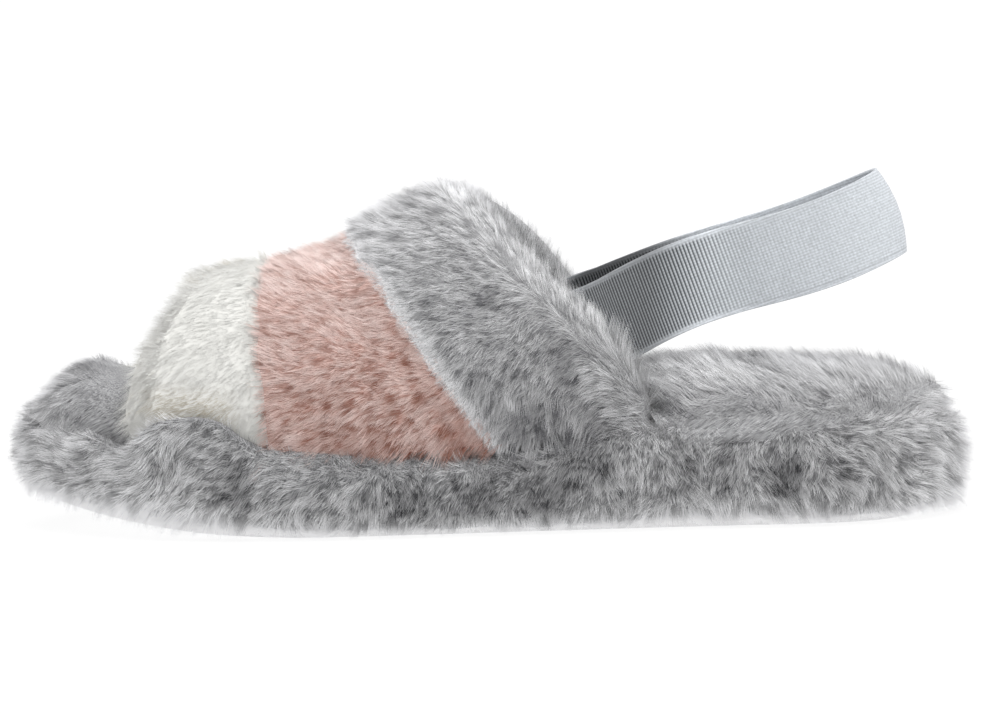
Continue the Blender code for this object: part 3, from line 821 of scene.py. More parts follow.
WrapRow = namedtuple("WrapRow", "x rise reach up down hem")
WRAP_ROWS = [
    WrapRow(-140.0, 5.0, 0.0, 0.0, 4.0, 3.5),
    WrapRow(-122.0, 5.0, 1.0, 0.0, 9.0, 3.8),
    WrapRow(-110.0, 4.5, 1.0, 0.0, 15.0, 4.4),
    WrapRow(-101.0, 3.0, 2.5, 0.0, 20.0, 4.8),
    WrapRow(-97.0, 3.6, 4.0, 15.0, 24.0, 4.8),
    WrapRow(-93.0, 8.0, 7.0, 30.0, 27.0, 4.7),
    WrapRow(-88.5, 12.0, 8.0, 45.0, 30.0, 4.5),
    WrapRow(-79.0, 14.5, 8.0, 45.0, 36.0, 4.0),
    WrapRow(-74.0, 13.5, 7.0, 45.0, 39.0, 3.7),
    WrapRow(-68.0, 9.0, 4.5, 35.0, 42.0, 3.4),
    WrapRow(-61.0, 6.0, 2.0, 20.0, 45.0, 3.0),
    WrapRow(-48.0, 5.0, 2.0, 25.0, 48.0, 2.8),
    WrapRow(-34.0, 3.0, 1.0, 10.0, 52.0, 2.5),
    WrapRow(-18.0, 1.5, 0.5, 0.0, 56.0, 2.1),
    WrapRow(-4.0, 0.3, 0.0, 20.0, 61.0, 1.9),
    WrapRow(5.0, 0.3, 0.5, 20.0, 64.0, 1.9),
    WrapRow(14.0, 2.0, 2.0, 20.0, 68.0, 2.0),
    WrapRow(35.0, 6.0, 2.0, 35.0, 80.0, 3.2),
    WrapRow(52.0, 7.0, 0.5, 40.0, 88.0, 3.6),
    WrapRow(75.0, 6.5, 0.0, 30.0, 102.0, 3.6),
    WrapRow(98.0, 6.5, 0.0, 0.0, 124.0, 3.2),
    WrapRow(114.0, 6.0, 0.0, 0.0, 138.0, 2.8),
    WrapRow(140.0, 3.2, 0.0, 0.0, 150.0, 2.6),
]
wrap_rise = through(WRAP_ROWS, "x", "rise")
wrap_reach = through(WRAP_ROWS, "x", "reach")
wrap_up = through(WRAP_ROWS, "x", "up")
wrap_down = through(WRAP_ROWS, "x", "down")
wrap_hem = through(WRAP_ROWS, "x", "hem")


def wrap_surface(way, height):
    """A D of superellipse form on the foam's side: way runs round the edge, height from the floor side up.

    Its top rises over the deck and reaches outwards by what the table says, its lower hem stays off the
    floor, and slow waves make it uneven.
    """
    way = way % round_way[-1]
    turn = np.interp(way, round_way, round_turn)
    share = height / WRAP_HEIGHT
    angle = math.pi * (1 - share)
    x = bare_edge(turn)[..., 0]
    calm = smooth_step(0.0, RELIEF_SIZE, way) * smooth_step(0.0, RELIEF_SIZE, round_way[-1] - way)
    uneven = WRAP_RELIEF * calm * np.clip(wander(way, height, RELIEF_SIZE, 12), -1.0, 1.0)
    heel = WRAP_HEEL_EXTRA * smooth_step(HEEL_EXTRA_FROM, HEEL_EXTRA_FULL, x)
    out = (WRAP_UNDERCOAT + uneven + heel) * np.abs(np.sin(angle)) ** (2 / WRAP_SQUARE)
    plan = sole_edge(turn, GAP + out + wrap_reach(x) * smooth_step(REACH_FROM, 1.0, share))
    low = lift_at(station_of(x)) + wrap_hem(x) + HEM_RELIEF * uneven
    high = deck_at(station_of(x)) + wrap_rise(x)
    rise = np.sign(np.cos(angle)) * np.abs(np.cos(angle)) ** (2 / WRAP_SQUARE)
    return np.concatenate([plan, ((low + high) / 2 + (high - low) / 2 * rise)[..., None]], axis=-1)


WRAP_STEPS = 240
WRAP_COLUMNS = 18
WRAP_LOW_PAINTED_LIGHT = 0.4
way_steps = np.linspace(0.0, round_way[-1], WRAP_STEPS, endpoint=False)
height_steps = np.linspace(0.0, WRAP_HEIGHT, WRAP_COLUMNS)
way, height = np.meshgrid(way_steps, height_steps, indexing="ij")
wrap_points = wrap_surface(way, height).reshape(-1, 3)
wrap_quads = facing_out(wrap_points, grid_quads(WRAP_STEPS, WRAP_COLUMNS, True, True))
wrap_zero = np.zeros(len(wrap_points))
# The undercoat is painted paler near the floor, as the painted light of the fringe.
wrap_tone = 0.5 + WRAP_LOW_PAINTED_LIGHT * smooth_step(0.4 * WRAP_HEIGHT, 0.1 * WRAP_HEIGHT, height).ravel()
wrap_band = Shape(wrap_points, 0 * wrap_points, wrap_quads, NO_TRIANGLES, wrap_zero, wrap_tone, 1)
print(f"wrap: {len(wrap_quads)} faces round {round_way[-1]:.0f} mm")

# %% The wrap's hairs
WRAP_HAIRS = {"outer": 47000, "inner": 27000}
WRAP_COAT = Coat(4.8, 44, 0.14, 2.0, 0.5, 40, 18, 34, 0.76, 0.32, 1.0, 10)
WRAP_SPAN = (0.07 * WRAP_HEIGHT, 0.95 * WRAP_HEIGHT)
BEHIND_COLLAR = (25.0, 42.0, 82.0, 102.0)
LUMP = (-98.0, -90.0, -70.0, -62.0)
HANG = 0.75
# How much the wrap's hairs are painted paler or darker, as painted light and shade.
FRINGE_PAINTED_LIGHT = 1.1
TOP_PALE = 0.5
TOE_TOP_DARK = 0.1
FRONT_PALE = 0.3
HEEL_PAINTED_LIGHT = 0.5
TUFT_FALL = 3.0
TUFT_TOE_LESS = 2.0
LOW_MORE = 0.7
TOP_SHORTER = 0.4
BEHIND_LONGER = 0.6
LUMP_LONGER = 0.2
LOW_LONGER = 0.4


def toeward(down):
    """Towards the toe, and down by an angle in radians below level."""
    return np.stack([-np.cos(down), 0 * down, -np.sin(down)], axis=1)


def wrap_lay(way, height, point, normal):
    """Towards the toe and down: the angle below level grows from the toe to the heel and near the floor."""
    down = wrap_down(point[:, 0])
    hang = smooth_step(0.45 * WRAP_HEIGHT, 0.1 * WRAP_HEIGHT, height)
    up = wrap_up(point[:, 0]) * smooth_step(0.5 * WRAP_HEIGHT, 0.8 * WRAP_HEIGHT, height)
    return toeward(np.radians(down - up + (90 - down) * HANG * hang))


def behind_collar(x):
    """1 along the side behind the collar, where the wrap and the footbed run into each other."""
    return zone(x, *BEHIND_COLLAR)


def wrap_painted_light_and_shade(way, height, point):
    """Painted light and shade: paler at the fringe over the floor and at the heel end, where light from
    behind shines through the thin hairs, at the top where it meets the footbed and towards the toe, and a
    little darker along the top at the toe.
    """
    x = point[:, 0]
    fringe = FRINGE_PAINTED_LIGHT * smooth_step(0.42 * WRAP_HEIGHT, 0.12 * WRAP_HEIGHT, height)
    top = TOP_PALE * smooth_step(0.5 * WRAP_HEIGHT, 0.95 * WRAP_HEIGHT, height) * behind_collar(x)
    toe_top = smooth_step(0.6 * WRAP_HEIGHT, 0.9 * WRAP_HEIGHT, height) * smooth_step(-98.0, -112.0, x)
    front = FRONT_PALE * smooth_step(-50.0, -90.0, x)
    return fringe + top + front - TOE_TOP_DARK * toe_top + HEEL_PAINTED_LIGHT * smooth_step(95.0, 138.0, x)


def wrap_fall(way, height, point):
    """The lowest hairs hang in uneven tufts, less so at the toe."""
    toe = smooth_step(-80.0, -108.0, point[:, 0])
    return (TUFT_FALL - TUFT_TOE_LESS * toe) * smooth_step(0.34 * WRAP_HEIGHT, 0.06 * WRAP_HEIGHT, height)


def wrap_share(way, height, point):
    """More hairs low down, where they hide the edge of the foam."""
    return 1 + LOW_MORE * smooth_step(0.4 * WRAP_HEIGHT, 0.1 * WRAP_HEIGHT, height)


def wrap_scale(way, height, point):
    """Shorter along the top edge, less so on the lump, and longer behind the collar and at the fringe."""
    x = point[:, 0]
    top = smooth_step(0.7 * WRAP_HEIGHT, 0.95 * WRAP_HEIGHT, height)
    lump = zone(x, *LUMP)
    low = smooth_step(0.3 * WRAP_HEIGHT, 0.1 * WRAP_HEIGHT, height) * smooth_step(-108.0, -80.0, x)
    return 1 + top * (BEHIND_LONGER * behind_collar(x) + LUMP_LONGER * lump - TOP_SHORTER) + LOW_LONGER * low


half_round = np.interp(math.pi, round_turn, round_way)
wrap_more = {"share": wrap_share, "scale": wrap_scale, "painted_light_and_shade": wrap_painted_light_and_shade, "fall": wrap_fall}
for side, start, end, seed in (("outer", 0.0, half_round, 11), ("inner", half_round, round_way[-1], 21)):
    spans = (start, end), WRAP_SPAN
    shapes = [fur(wrap_surface, spans, WRAP_HAIRS[side], wrap_lay, WRAP_COAT, seed, **wrap_more)]
    if side == "outer":
        shapes.append(wrap_band)
    make_piece(f"wrap_fur_{side}", shapes, [wrap_hair, wrap_under], "wrap_fur", "sole_wrap")

# %% [markdown]
# ## Footbed
# The footbed is a pad of the same fur that shows at the open toe and behind the collar, where it bulges over
# the wrap like a cushion. It could be a cloth that is blown up, but its form is known, so it is a pillow by
# formula: a flat superellipse across the foot, whose width and height follow the sole. It is narrower under
# the band, to clear the backing, and fuller where it is open to view.

# %% The footbed's pillow
FRONT_OVERHANG = 4.0
COLLAR_ROLL = 6.5
OPEN_BLEND = 15.0
INSOLE_HEIGHT = 16.5
INSOLE_OPEN_RISE = 3.6
INSOLE_RISE_LEAD = 16.0
INSOLE_END_START = 98.0
INSOLE_END_LENGTH = 34.0
INSOLE_END_DROP = 0.46
FOOTBED_SWELL = 2.4
FOOTBED_TOE_SWELL = 6.0
FOOTBED_INSET = 6.0
FOOTBED_OPEN_INSET = -2.2
FOOTBED_BULGE = 3.8
FOOTBED_TOE_BULGE = 3.8
FOOTBED_TOE_DROP = 4.5
FOOTBED_LEAD = 9.0
FOOTBED_DEPTH = 0.92
FOOTBED_BASE = 1.0
FOOTBED_OPEN_BASE = 3.6
FOOTBED_SQUARE = 3.0
FOOTBED_WIDE = 120.0
FOOTBED_END = 0.012
SWELL_ZONE = (30.0, 42.0, 60.0, 95.0)
TOE_SWELL_ZONE = (-131.0, -108.0, -100.0, -80.0)
BULGE_ZONE = (38.0, 58.0, 90.0, 112.0)
TOE_END_LESS = 0.6


def open_share(x, lead=0.0):
    """0 where the band covers the foot, 1 at the open toe and heel, where it starts earlier by the lead."""
    toe_start = FRONT_FOOT_X - FRONT_OVERHANG
    heel_start = COLLAR_FOOT_X + COLLAR_ROLL - lead
    toe = 1 - smooth_step(toe_start - OPEN_BLEND, toe_start, x)
    return toe + smooth_step(heel_start, heel_start + OPEN_BLEND, x)


def footbed_open(x):
    """0 under the band and 1 in the open, where the pad already rises a little inside the collar."""
    return open_share(x, INSOLE_RISE_LEAD)


def pad_height(x):
    """Higher where it is open to view, swollen behind the collar and at the toe, and falling to both ends."""
    end = np.clip((np.abs(x) - INSOLE_END_START) / INSOLE_END_LENGTH, 0.0, 1.0)
    swell = FOOTBED_SWELL * zone(x, *SWELL_ZONE) + FOOTBED_TOE_SWELL * zone(x, *TOE_SWELL_ZONE)
    swell = swell - FOOTBED_TOE_DROP * smooth_step(-116.0, -134.0, x)
    return (INSOLE_HEIGHT + INSOLE_OPEN_RISE * footbed_open(x)) * (1 - INSOLE_END_DROP * end**2) + swell


def footbed_surface(way, across):
    """A pillow on the deck: way runs from heel to toe, across from the outer edge over the top to the inner.

    Its two edges are the sole's, moved inwards by the inset. Between them it rises as a superellipse.
    """
    share = np.clip(way / SOLE_LENGTH, FOOTBED_END, 1 - FOOTBED_END)
    turn = math.pi * share
    x = HEEL_END - SOLE_LENGTH * (1 - np.cos(turn)) / 2
    bare = open_share(x + FOOTBED_LEAD * smooth_step(0.0, 30.0, x))
    heel_bulge = FOOTBED_BULGE * zone(x, *BULGE_ZONE)
    toe_end = 1 - TOE_END_LESS * smooth_step(-118.0, -128.0, x)
    toe_bulge = FOOTBED_TOE_BULGE * smooth_step(-100.0, -112.0, x) * toe_end
    inset = FOOTBED_INSET + (FOOTBED_OPEN_INSET - FOOTBED_INSET) * bare - heel_bulge - toe_bulge
    outer = sole_edge(turn, -inset)
    inner = sole_edge(2 * math.pi - turn, -inset)
    angle = math.pi * across / FOOTBED_WIDE
    side = np.sign(np.cos(angle)) * np.abs(np.cos(angle)) ** (2 / FOOTBED_SQUARE)
    plan = (outer + inner) / 2 + (outer - inner) / 2 * side[..., None]
    rise = np.abs(np.sin(angle)) ** (2 / FOOTBED_SQUARE)
    base = FOOTBED_BASE + (FOOTBED_OPEN_BASE - FOOTBED_BASE) * bare
    top = FOOTBED_DEPTH * pad_height(plan[..., 0])
    z = deck_at(station_of(plan[..., 0])) + base + (top - base) * rise
    return np.concatenate([plan, z[..., None]], axis=-1)


FOOTBED_ROWS = 90
FOOTBED_COLUMNS = 30
way_steps = np.linspace(0.0, SOLE_LENGTH, FOOTBED_ROWS)
across_steps = np.linspace(0.0, FOOTBED_WIDE, FOOTBED_COLUMNS)
top = footbed_surface(*np.meshgrid(way_steps, across_steps, indexing="ij"))
below = np.concatenate([top[..., :2], deck_at(station_of(top[..., :1])) + GAP], axis=-1)
pillow = shell(top, below, 1)
print(f"the pillow is up to {np.max(top[..., 2] - below[..., 2]):.0f} mm thick")

# %% The footbed's hairs
FOOTBED_HAIRS = 28000
FOOTBED_COAT = Coat(5.8, 32, 0.17, 3.2, 0.35, 24, 30, 20, 0.9, 0.16, 1.0, 30)
MOUTH_ZONE = (-122.0, -112.0, -104.0, -90.0)
MOUTH_DARK = 0.5
FOOTBED_LOW_DARK = 0.4
COVERED_SHARE = 0.12
COVERED_LENGTH = 0.7
TOE_SHORTER = 0.25


def footbed_low(point):
    """1 along the pad's lower side behind the collar, where it is in the wrap's shade."""
    height = point[:, 2] - deck_at(station_of(point[:, 0]))
    return smooth_step(17.0, 8.0, height) * behind_collar(point[:, 0])


def footbed_lay(way, across, point, normal):
    """Towards the toe behind the collar, and outwards at the open toe and round the heel's end."""
    toe = smooth_step(-85.0, -115.0, point[:, 0])
    heel = smooth_step(0.35, 0.75, normal[:, 0]) * smooth_step(100.0, 120.0, point[:, 0])
    out = (0.4 * toe + 0.5 * heel) * point[:, 1] / 25
    up = 0.35 * (1 - toe) * (1 - heel) - 0.6 * toe
    return np.stack([2 * heel - 1, out, up], axis=1)


def footbed_share(way, across, point):
    """Most hairs where the footbed is open to view, few under the band."""
    return COVERED_SHARE + (1 - COVERED_SHARE) * footbed_open(point[:, 0])


def footbed_shade(way, across, point):
    """Darker in the shadow of the toe mouth, and low down behind the collar."""
    return -MOUTH_DARK * zone(point[:, 0], *MOUTH_ZONE) - FOOTBED_LOW_DARK * footbed_low(point)


def footbed_scale(way, across, point):
    """Shorter under the band and at the toe."""
    x = point[:, 0]
    toe = TOE_SHORTER * smooth_step(-85.0, -110.0, x)
    return COVERED_LENGTH + (1 - COVERED_LENGTH) * footbed_open(x) - toe


spans = (0.0, SOLE_LENGTH), (0.03 * FOOTBED_WIDE, 0.97 * FOOTBED_WIDE)
footbed_more = {"share": footbed_share, "scale": footbed_scale, "painted_light_and_shade": footbed_shade}
locks = fur(footbed_surface, spans, FOOTBED_HAIRS, footbed_lay, FOOTBED_COAT, 31, **footbed_more)
footbed = make_piece("footbed_fur", [locks, pillow], [grey_hair, grey_under], "footbed_fur", "insole")

# %% [markdown]
# ## Lining
# Inside, the band is lined with short plush. It is the backing's own wall, a little thinner than the solid,
# with a soft nap in its bump.

# %% The lining's wall
LINING_ROWS = 48
LINING_COLUMNS = 60
LINING_EASE = 0.1
lining_plush = undercoat_finish("lining_plush", (0.28, 0.28, 0.285), (0.46, 0.46, 0.465))
share = np.linspace(0.0, 1.0, LINING_ROWS)[:, None]
turn = np.linspace(0.0, math.pi, LINING_COLUMNS)[None, :] + 0 * share
x = front_edge(turn) + (collar_edge(turn) - front_edge(turn)) * share
outside = upper_point(x, turn, np.full_like(x, -LINING_EASE))
inside = upper_point(x, turn, np.full_like(x, LINING_EASE - UPPER_WALL))
make_piece("lining", [shell(outside, inside, 0)], [lining_plush], "lining_cloth", "upper")

# %% [markdown]
# ## Fur panels of the band
# Three strips of fur lie across the foot: white at the toe, pink in the middle, grey at the collar. Each is a
# padded skin over the backing, thinner along its lower borders. A skin takes its place from the backing's two
# parameters and its depth from a short list, so the pad and its hairs use one function. Each panel's rear
# edge lies a little under the next one, and the white and the grey panel are rounded off in front.

# %% The skin of a panel
PANEL_GAP = 0.45
PANEL_MARGIN = 0.03
PANEL_GIRTH = 150.0
PANEL_LONG = 60.0
PANEL_EDGE_SHARE = 0.09
PANEL_EDGE_PILE = 0.55
PANEL_ROWS_ALONG = 40
PANEL_COLUMNS = 80
LAY_CURVE = 0.8
INNER_FEWER = 0.4
DEPTH_PLACES = (0.0, 0.12, 0.5, 0.88, 1.0)


def panel_turn(across):
    """The backing's turn at a place across the panel, which stops just short of the feet."""
    return PANEL_MARGIN + np.clip(across / PANEL_GIRTH, 0.0, 1.0) * (math.pi - 2 * PANEL_MARGIN)


def side_fall(across):
    """The coat is thinner along the two lower borders."""
    share = across / PANEL_GIRTH
    fall = smooth_step(0.0, PANEL_EDGE_SHARE, share) * smooth_step(0.0, PANEL_EDGE_SHARE, 1 - share)
    return PANEL_EDGE_PILE + (1 - PANEL_EDGE_PILE) * fall


def panel_surface(rear_edge, toe_edge, depths, relief):
    """The top of a panel's undercoat: way runs from the heel side to the toe side, across over the foot."""

    def surface(way, across):
        """A place between the two edges, lifted off the backing by the depth there."""
        turn = panel_turn(across)
        share = way / PANEL_LONG
        x = rear_edge(turn) + (toe_edge(turn) - rear_edge(turn)) * share
        depth = np.interp(share, DEPTH_PLACES, depths)
        depth = depth + relief * wander(x, across, RELIEF_SIZE, 14)
        return upper_point(x, turn, PANEL_GAP + depth * side_fall(across))

    return surface


def toe_to_heel(x, turn):
    """The direction along the backing towards the heel."""
    return unit(upper_surface(x + NORMAL_STEP_X, turn) - upper_surface(x - NORMAL_STEP_X, turn))


def rounded_front(flat, toe_edge, depth, radius, most):
    """A panel whose front edge goes on in an arc to the backing, where way is past the panel's length."""

    def surface(way, across):
        """The flat panel, then a circle round a centre one radius below the panel's front edge."""
        turn = panel_turn(across)
        x = toe_edge(turn)
        reach = radius * side_fall(across)
        centre = upper_point(x, turn, PANEL_GAP + depth * side_fall(across) - reach)
        angle = np.clip((way - PANEL_LONG) / radius, 0.0, most)[..., None]
        spoke = np.cos(angle) * upper_normal(x, turn) - np.sin(angle) * toe_to_heel(x, turn)
        front = centre + reach[..., None] * spoke
        return np.where(way[..., None] > PANEL_LONG, front, flat(np.clip(way, 0.0, PANEL_LONG), across))

    return surface


def panel_shell(surface, rear_edge, toe_edge, ways, past=0.0):
    """The undercoat as a closed sheet on the backing, with a row at each way, and how far way is along it."""
    across = np.linspace(0.0, PANEL_GIRTH, PANEL_COLUMNS)[None, :] + 0 * ways[:, None]
    way = ways[:, None] + 0 * across
    turn = panel_turn(across)
    x = rear_edge(turn) + (toe_edge(turn) - rear_edge(turn)) * np.clip(way, 0.0, PANEL_LONG) / PANEL_LONG
    x = x - np.maximum(way - PANEL_LONG, 0.0) * past
    return shell(surface(way, across), upper_point(x, turn, np.full_like(x, PANEL_GAP)), 1), way, across


def with_tone(pad, tone):
    """The sheet with a tone for each place of its grid, the same on both of its faces."""
    return pad._replace(tone=np.tile(tone.ravel(), 2))


def height_share(point):
    """0 at the foot of the band and 1 at its crown."""
    foot = deck_at(station_of(point[:, 0]))
    return np.clip((point[:, 2] - foot) / (crown_at(point[:, 0]) - foot), 0.0, 1.0)


def band_lay(fall_low, fall_high):
    """Towards the toe, and down by an angle that grows from the crown to the foot."""

    def lay(way, across, point, normal):
        """The fall low down, changing to that at the crown with a power of the height."""
        return toeward(np.radians(fall_low + (fall_high - fall_low) * height_share(point) ** LAY_CURVE))

    return lay


def outer_share(way, across, point):
    """Most hairs on the outer side, which is the side on show."""
    return 1 - INNER_FEWER * smooth_step(0.0, 25.0, point[:, 1])


panel_ways = np.linspace(0.0, PANEL_LONG, PANEL_ROWS_ALONG)
print(f"a panel's skin has {PANEL_ROWS_ALONG} by {PANEL_COLUMNS} points")

# %% [markdown]
# ### White toe panel
# The white pile is the shortest and lies almost flat, so its strands hardly show from the outer side. Three
# coats make it: flat hairs all over, rougher ones on the inner side, and longer ones that hang over the
# rounded front edge. Its front is painted paler, as painted light, and beside the wrap's lump the white is
# painted cream, as the painted shade of the lump.

# %% White toe panel
WHITE_COAT = Coat(3.6, 8, 0.14, 4.0, 0.1, 10, 30, 12, 1.0, 0.0, 0.2, 40)
WHITE_INNER_COAT = Coat(4.6, 26, 0.18, 2.2, 0.4, 20, 26, 22, 0.7, 0.1, 1.3, 46)
WHITE_EDGE_COAT = Coat(5.0, 38, 0.16, 2.0, 0.45, 20, 20, 28, 0.72, 0.05, 1.2, 43)
WHITE_HAIRS = 12000
WHITE_INNER_HAIRS = 5000
WHITE_EDGE_HAIRS = 6500
WHITE_DEPTH = 7.2
WHITE_EDGE = 3.5
WHITE_EDGE_TURN = 0.85 * math.pi
WHITE_EDGE_WAY = WHITE_EDGE * WHITE_EDGE_TURN
WHITE_TUCK = 2.0
UNDERLAP = 1.2
WHITE_RELIEF = 0.1
# Painted light along the white front, and painted shade beside the wrap's lump.
WHITE_PAD_PAINTED_LIGHT = 0.06
WHITE_FRONT_PAINTED_LIGHT = 0.4
WHITE_LIGHT_FROM = 0.6 * PANEL_LONG
LUMP_PAINTED_SHADE = 0.9
LUMP_SHADE_ZONE = (-98.0, -90.0, -74.0, -66.0)
EDGE_ROWS = 8


def white_rear(turn):
    """The seam, and a little under the pink panel."""
    return white_seam(turn) + UNDERLAP


def white_front(turn):
    """Where the front edge starts to round off, further back low on both sides."""
    tuck = WHITE_TUCK * smooth_step(0.8, 0.4, np.sin(turn))
    return front_edge(turn) - FRONT_OVERHANG + WHITE_EDGE + tuck


white_flat = panel_surface(white_rear, white_front, (4.8, 7.0, 7.8, 7.5, WHITE_DEPTH), WHITE_RELIEF)
white_skin = rounded_front(white_flat, white_front, WHITE_DEPTH, WHITE_EDGE, WHITE_EDGE_TURN)
edge_ways = PANEL_LONG + np.linspace(0.0, WHITE_EDGE_WAY, EDGE_ROWS)[1:]
white_past = math.sin(WHITE_EDGE_TURN) / WHITE_EDGE_TURN
white_ways = np.concatenate([panel_ways, edge_ways])
white_pad, pad_way = panel_shell(white_skin, white_rear, white_front, white_ways, white_past)[:2]
# The pad is painted paler towards its front, as painted light.
white_pad = with_tone(white_pad, 0.5 + WHITE_PAD_PAINTED_LIGHT * smooth_step(WHITE_LIGHT_FROM, PANEL_LONG, pad_way))
print(f"the white front edge is an arc of {WHITE_EDGE_WAY:.1f} mm")

# %% White hairs
def white_painted_light_and_shade(way, across, point):
    """Painted light along the front, and painted shade in a cream tint over the wrap's lump."""
    x = point[:, 0]
    low = smooth_step(25.0, 17.0, point[:, 2] - deck_at(station_of(x)))
    front = WHITE_FRONT_PAINTED_LIGHT * smooth_step(WHITE_LIGHT_FROM, PANEL_LONG, way)
    return front - LUMP_PAINTED_SHADE * low * zone(x, *LUMP_SHADE_ZONE)


def inner_share(way, across, point):
    """0 on the outer side and 1 on the inner side."""
    return smooth_step(-10.0, 8.0, point[:, 1])


white_lay = band_lay(48, 8)
white_span = (0.0, PANEL_LONG), (0.0, PANEL_GIRTH)
edge_span = (0.82 * PANEL_LONG, PANEL_LONG + 0.9 * WHITE_EDGE_WAY), (0.0, PANEL_GIRTH)
white_more = {"share": outer_share, "painted_light_and_shade": white_painted_light_and_shade}
white_shapes = [
    fur(white_skin, white_span, WHITE_HAIRS, white_lay, WHITE_COAT, 41, **white_more),
    fur(white_skin, white_span, WHITE_INNER_HAIRS, white_lay, WHITE_INNER_COAT, 47, share=inner_share),
    fur(white_skin, edge_span, WHITE_EDGE_HAIRS, band_lay(60, 60), WHITE_EDGE_COAT, 44, painted_light_and_shade=white_painted_light_and_shade),
    white_pad,
]
make_piece("toe_fur", white_shapes, [white_hair, white_under], "white_fur", "toe_panel")

# %% [markdown]
# ### Pink middle panel
# The pink pile is a little longer and falls to the toe in small locks with many flecks of painted shade. It
# is painted paler towards the crown and darker low down, as the light falls from above, and darkest in the
# fold at the grey edge, as painted shade. Its tips cover the seam to the white panel, and along the foot they
# hang over the wrap.

# %% Pink middle panel
PINK_HAIRS = 43000
PINK_COAT = Coat(4.4, 32, 0.145, 2.2, 0.42, 18, 26, 22, 0.88, 0.26, 1.0, 50)
PANEL_RELIEF = 0.5
# Painted shade low down and in the fold, painted light towards the crown.
PINK_HEIGHT_PAINTED_SHADE = 0.5
FOLD_PAINTED_SHADE = 0.45
FOOT_LONGER = 0.5
FOOT_FALL = 2.2


def pink_rear(turn):
    """The seam, and a little under the grey panel."""
    return grey_seam(turn) + UNDERLAP


def pink_painted_light_and_shade(way, across, point):
    """Painted light and shade: darker low down and paler up to the crown, as the light falls from above, and
    darkest in the fold at the grey edge, as painted shade.
    """
    high = height_share(point)
    fold = FOLD_PAINTED_SHADE * smooth_step(14.0, 0.0, way) * smooth_step(0.3, 0.05, high)
    return PINK_HEIGHT_PAINTED_SHADE * (high - 0.5) - fold


def pink_scale(way, across, point):
    """Longer along the foot, where the tips hang over the wrap."""
    return 1 + FOOT_LONGER * smooth_step(0.2, 0.02, height_share(point))


def foot_fall(way, across, point):
    """The tips hang lower along the foot."""
    return FOOT_FALL * smooth_step(0.18, 0.02, height_share(point))


pink_skin = panel_surface(pink_rear, white_seam, (6.0, 5.8, 6.2, 6.0, 5.2), PANEL_RELIEF)
pink_pad = panel_shell(pink_skin, pink_rear, white_seam, panel_ways)[0]
pink_more = {"share": outer_share, "scale": pink_scale, "painted_light_and_shade": pink_painted_light_and_shade, "fall": foot_fall}
pink_spans = (-0.08 * PANEL_LONG, PANEL_LONG), (0.0, PANEL_GIRTH)
pink_locks = fur(pink_skin, pink_spans, PINK_HAIRS, band_lay(42, 0), PINK_COAT, 51, **pink_more)
make_piece("vamp_fur", [pink_locks, pink_pad], [pink_hair, pink_under], "pink_fur", "vamp_panel")

# %% [markdown]
# ## Collar
# The grey panel turns over the collar edge in a soft roll. Its skin has three stretches: an arc round the
# edge, the panel itself with a bulge low on the outer side, and a small arc down to the pink panel. On the
# roll the hairs stand out backwards and upwards and catch the light, and the band along the collar is also
# painted paler, as painted light. Along the front the pile is cut short, and its rim is painted pale, as
# painted light. The panel is painted darker low down and paler near the crown, as the light falls from above.

# %% Grey collar panel with its roll
COLLAR_HAIRS = 45000
COLLAR_COAT = Coat(5.2, 33, 0.15, 2.4, 0.42, 22, 28, 24, 0.86, 0.3, 1.0, 60)
ROLL_RADIUS = 5.2
ROLL_CENTRE_LIFT = 0.9
ROLL_TURN = 0.9 * math.pi
ROLL_WAY = ROLL_RADIUS * ROLL_TURN
INNER_SHIFT = 4.5
OUTER_BULGE = 4.5
# Painted shade low on the collar and painted light near its crown.
COLLAR_HEIGHT_PAINTED_SHADE = 0.65
FRONT_RADIUS = 1.6
FRONT_WAY = FRONT_RADIUS * math.pi / 2
FRONT_DEPTH = 7.6
# Painted light on the pad along the outer front rim.
RIM_PAINTED_LIGHT = 0.4
ROLL_BACK = 1.4
ROLL_DEPTH = 6.1
INNER_SIDE = (0.55 * math.pi, 0.75 * math.pi)
BULGE_TURN = (0.02, 0.15, 0.38, 0.68)
ROLL_ROWS = 12
FRONT_ROWS = 6


def collar_rear(turn):
    """The roll's line, a little further back on the inner side and in a bulge low on the outer side."""
    inner = INNER_SHIFT * smooth_step(*INNER_SIDE, turn)
    outer = OUTER_BULGE * zone(turn, *BULGE_TURN)
    return collar_edge(turn) + ROLL_BACK + inner + outer


def collar_front(turn):
    """Where the front edge starts to round off, one radius behind the seam."""
    return grey_seam(turn) + FRONT_RADIUS


collar_depths = (ROLL_DEPTH - PANEL_GAP, 7.8, 8.5, 8.3, FRONT_DEPTH)
collar_flat = panel_surface(collar_rear, collar_front, collar_depths, PANEL_RELIEF)
collar_body = rounded_front(collar_flat, collar_front, FRONT_DEPTH, FRONT_RADIUS, math.pi / 2)


def collar_surface(way, across):
    """An arc round the collar edge while way is negative, then the panel with its rounded front."""
    turn = panel_turn(across)
    x = collar_rear(turn)
    centre = upper_point(x, turn, np.full_like(x, ROLL_CENTRE_LIFT))
    angle = np.clip(-way / ROLL_RADIUS, 0.0, ROLL_TURN)[..., None]
    reach = (ROLL_RADIUS * side_fall(across))[..., None]
    roll = centre + reach * (np.cos(angle) * upper_normal(x, turn) + np.sin(angle) * toe_to_heel(x, turn))
    return np.where(way[..., None] < 0, roll, collar_body(way, across))


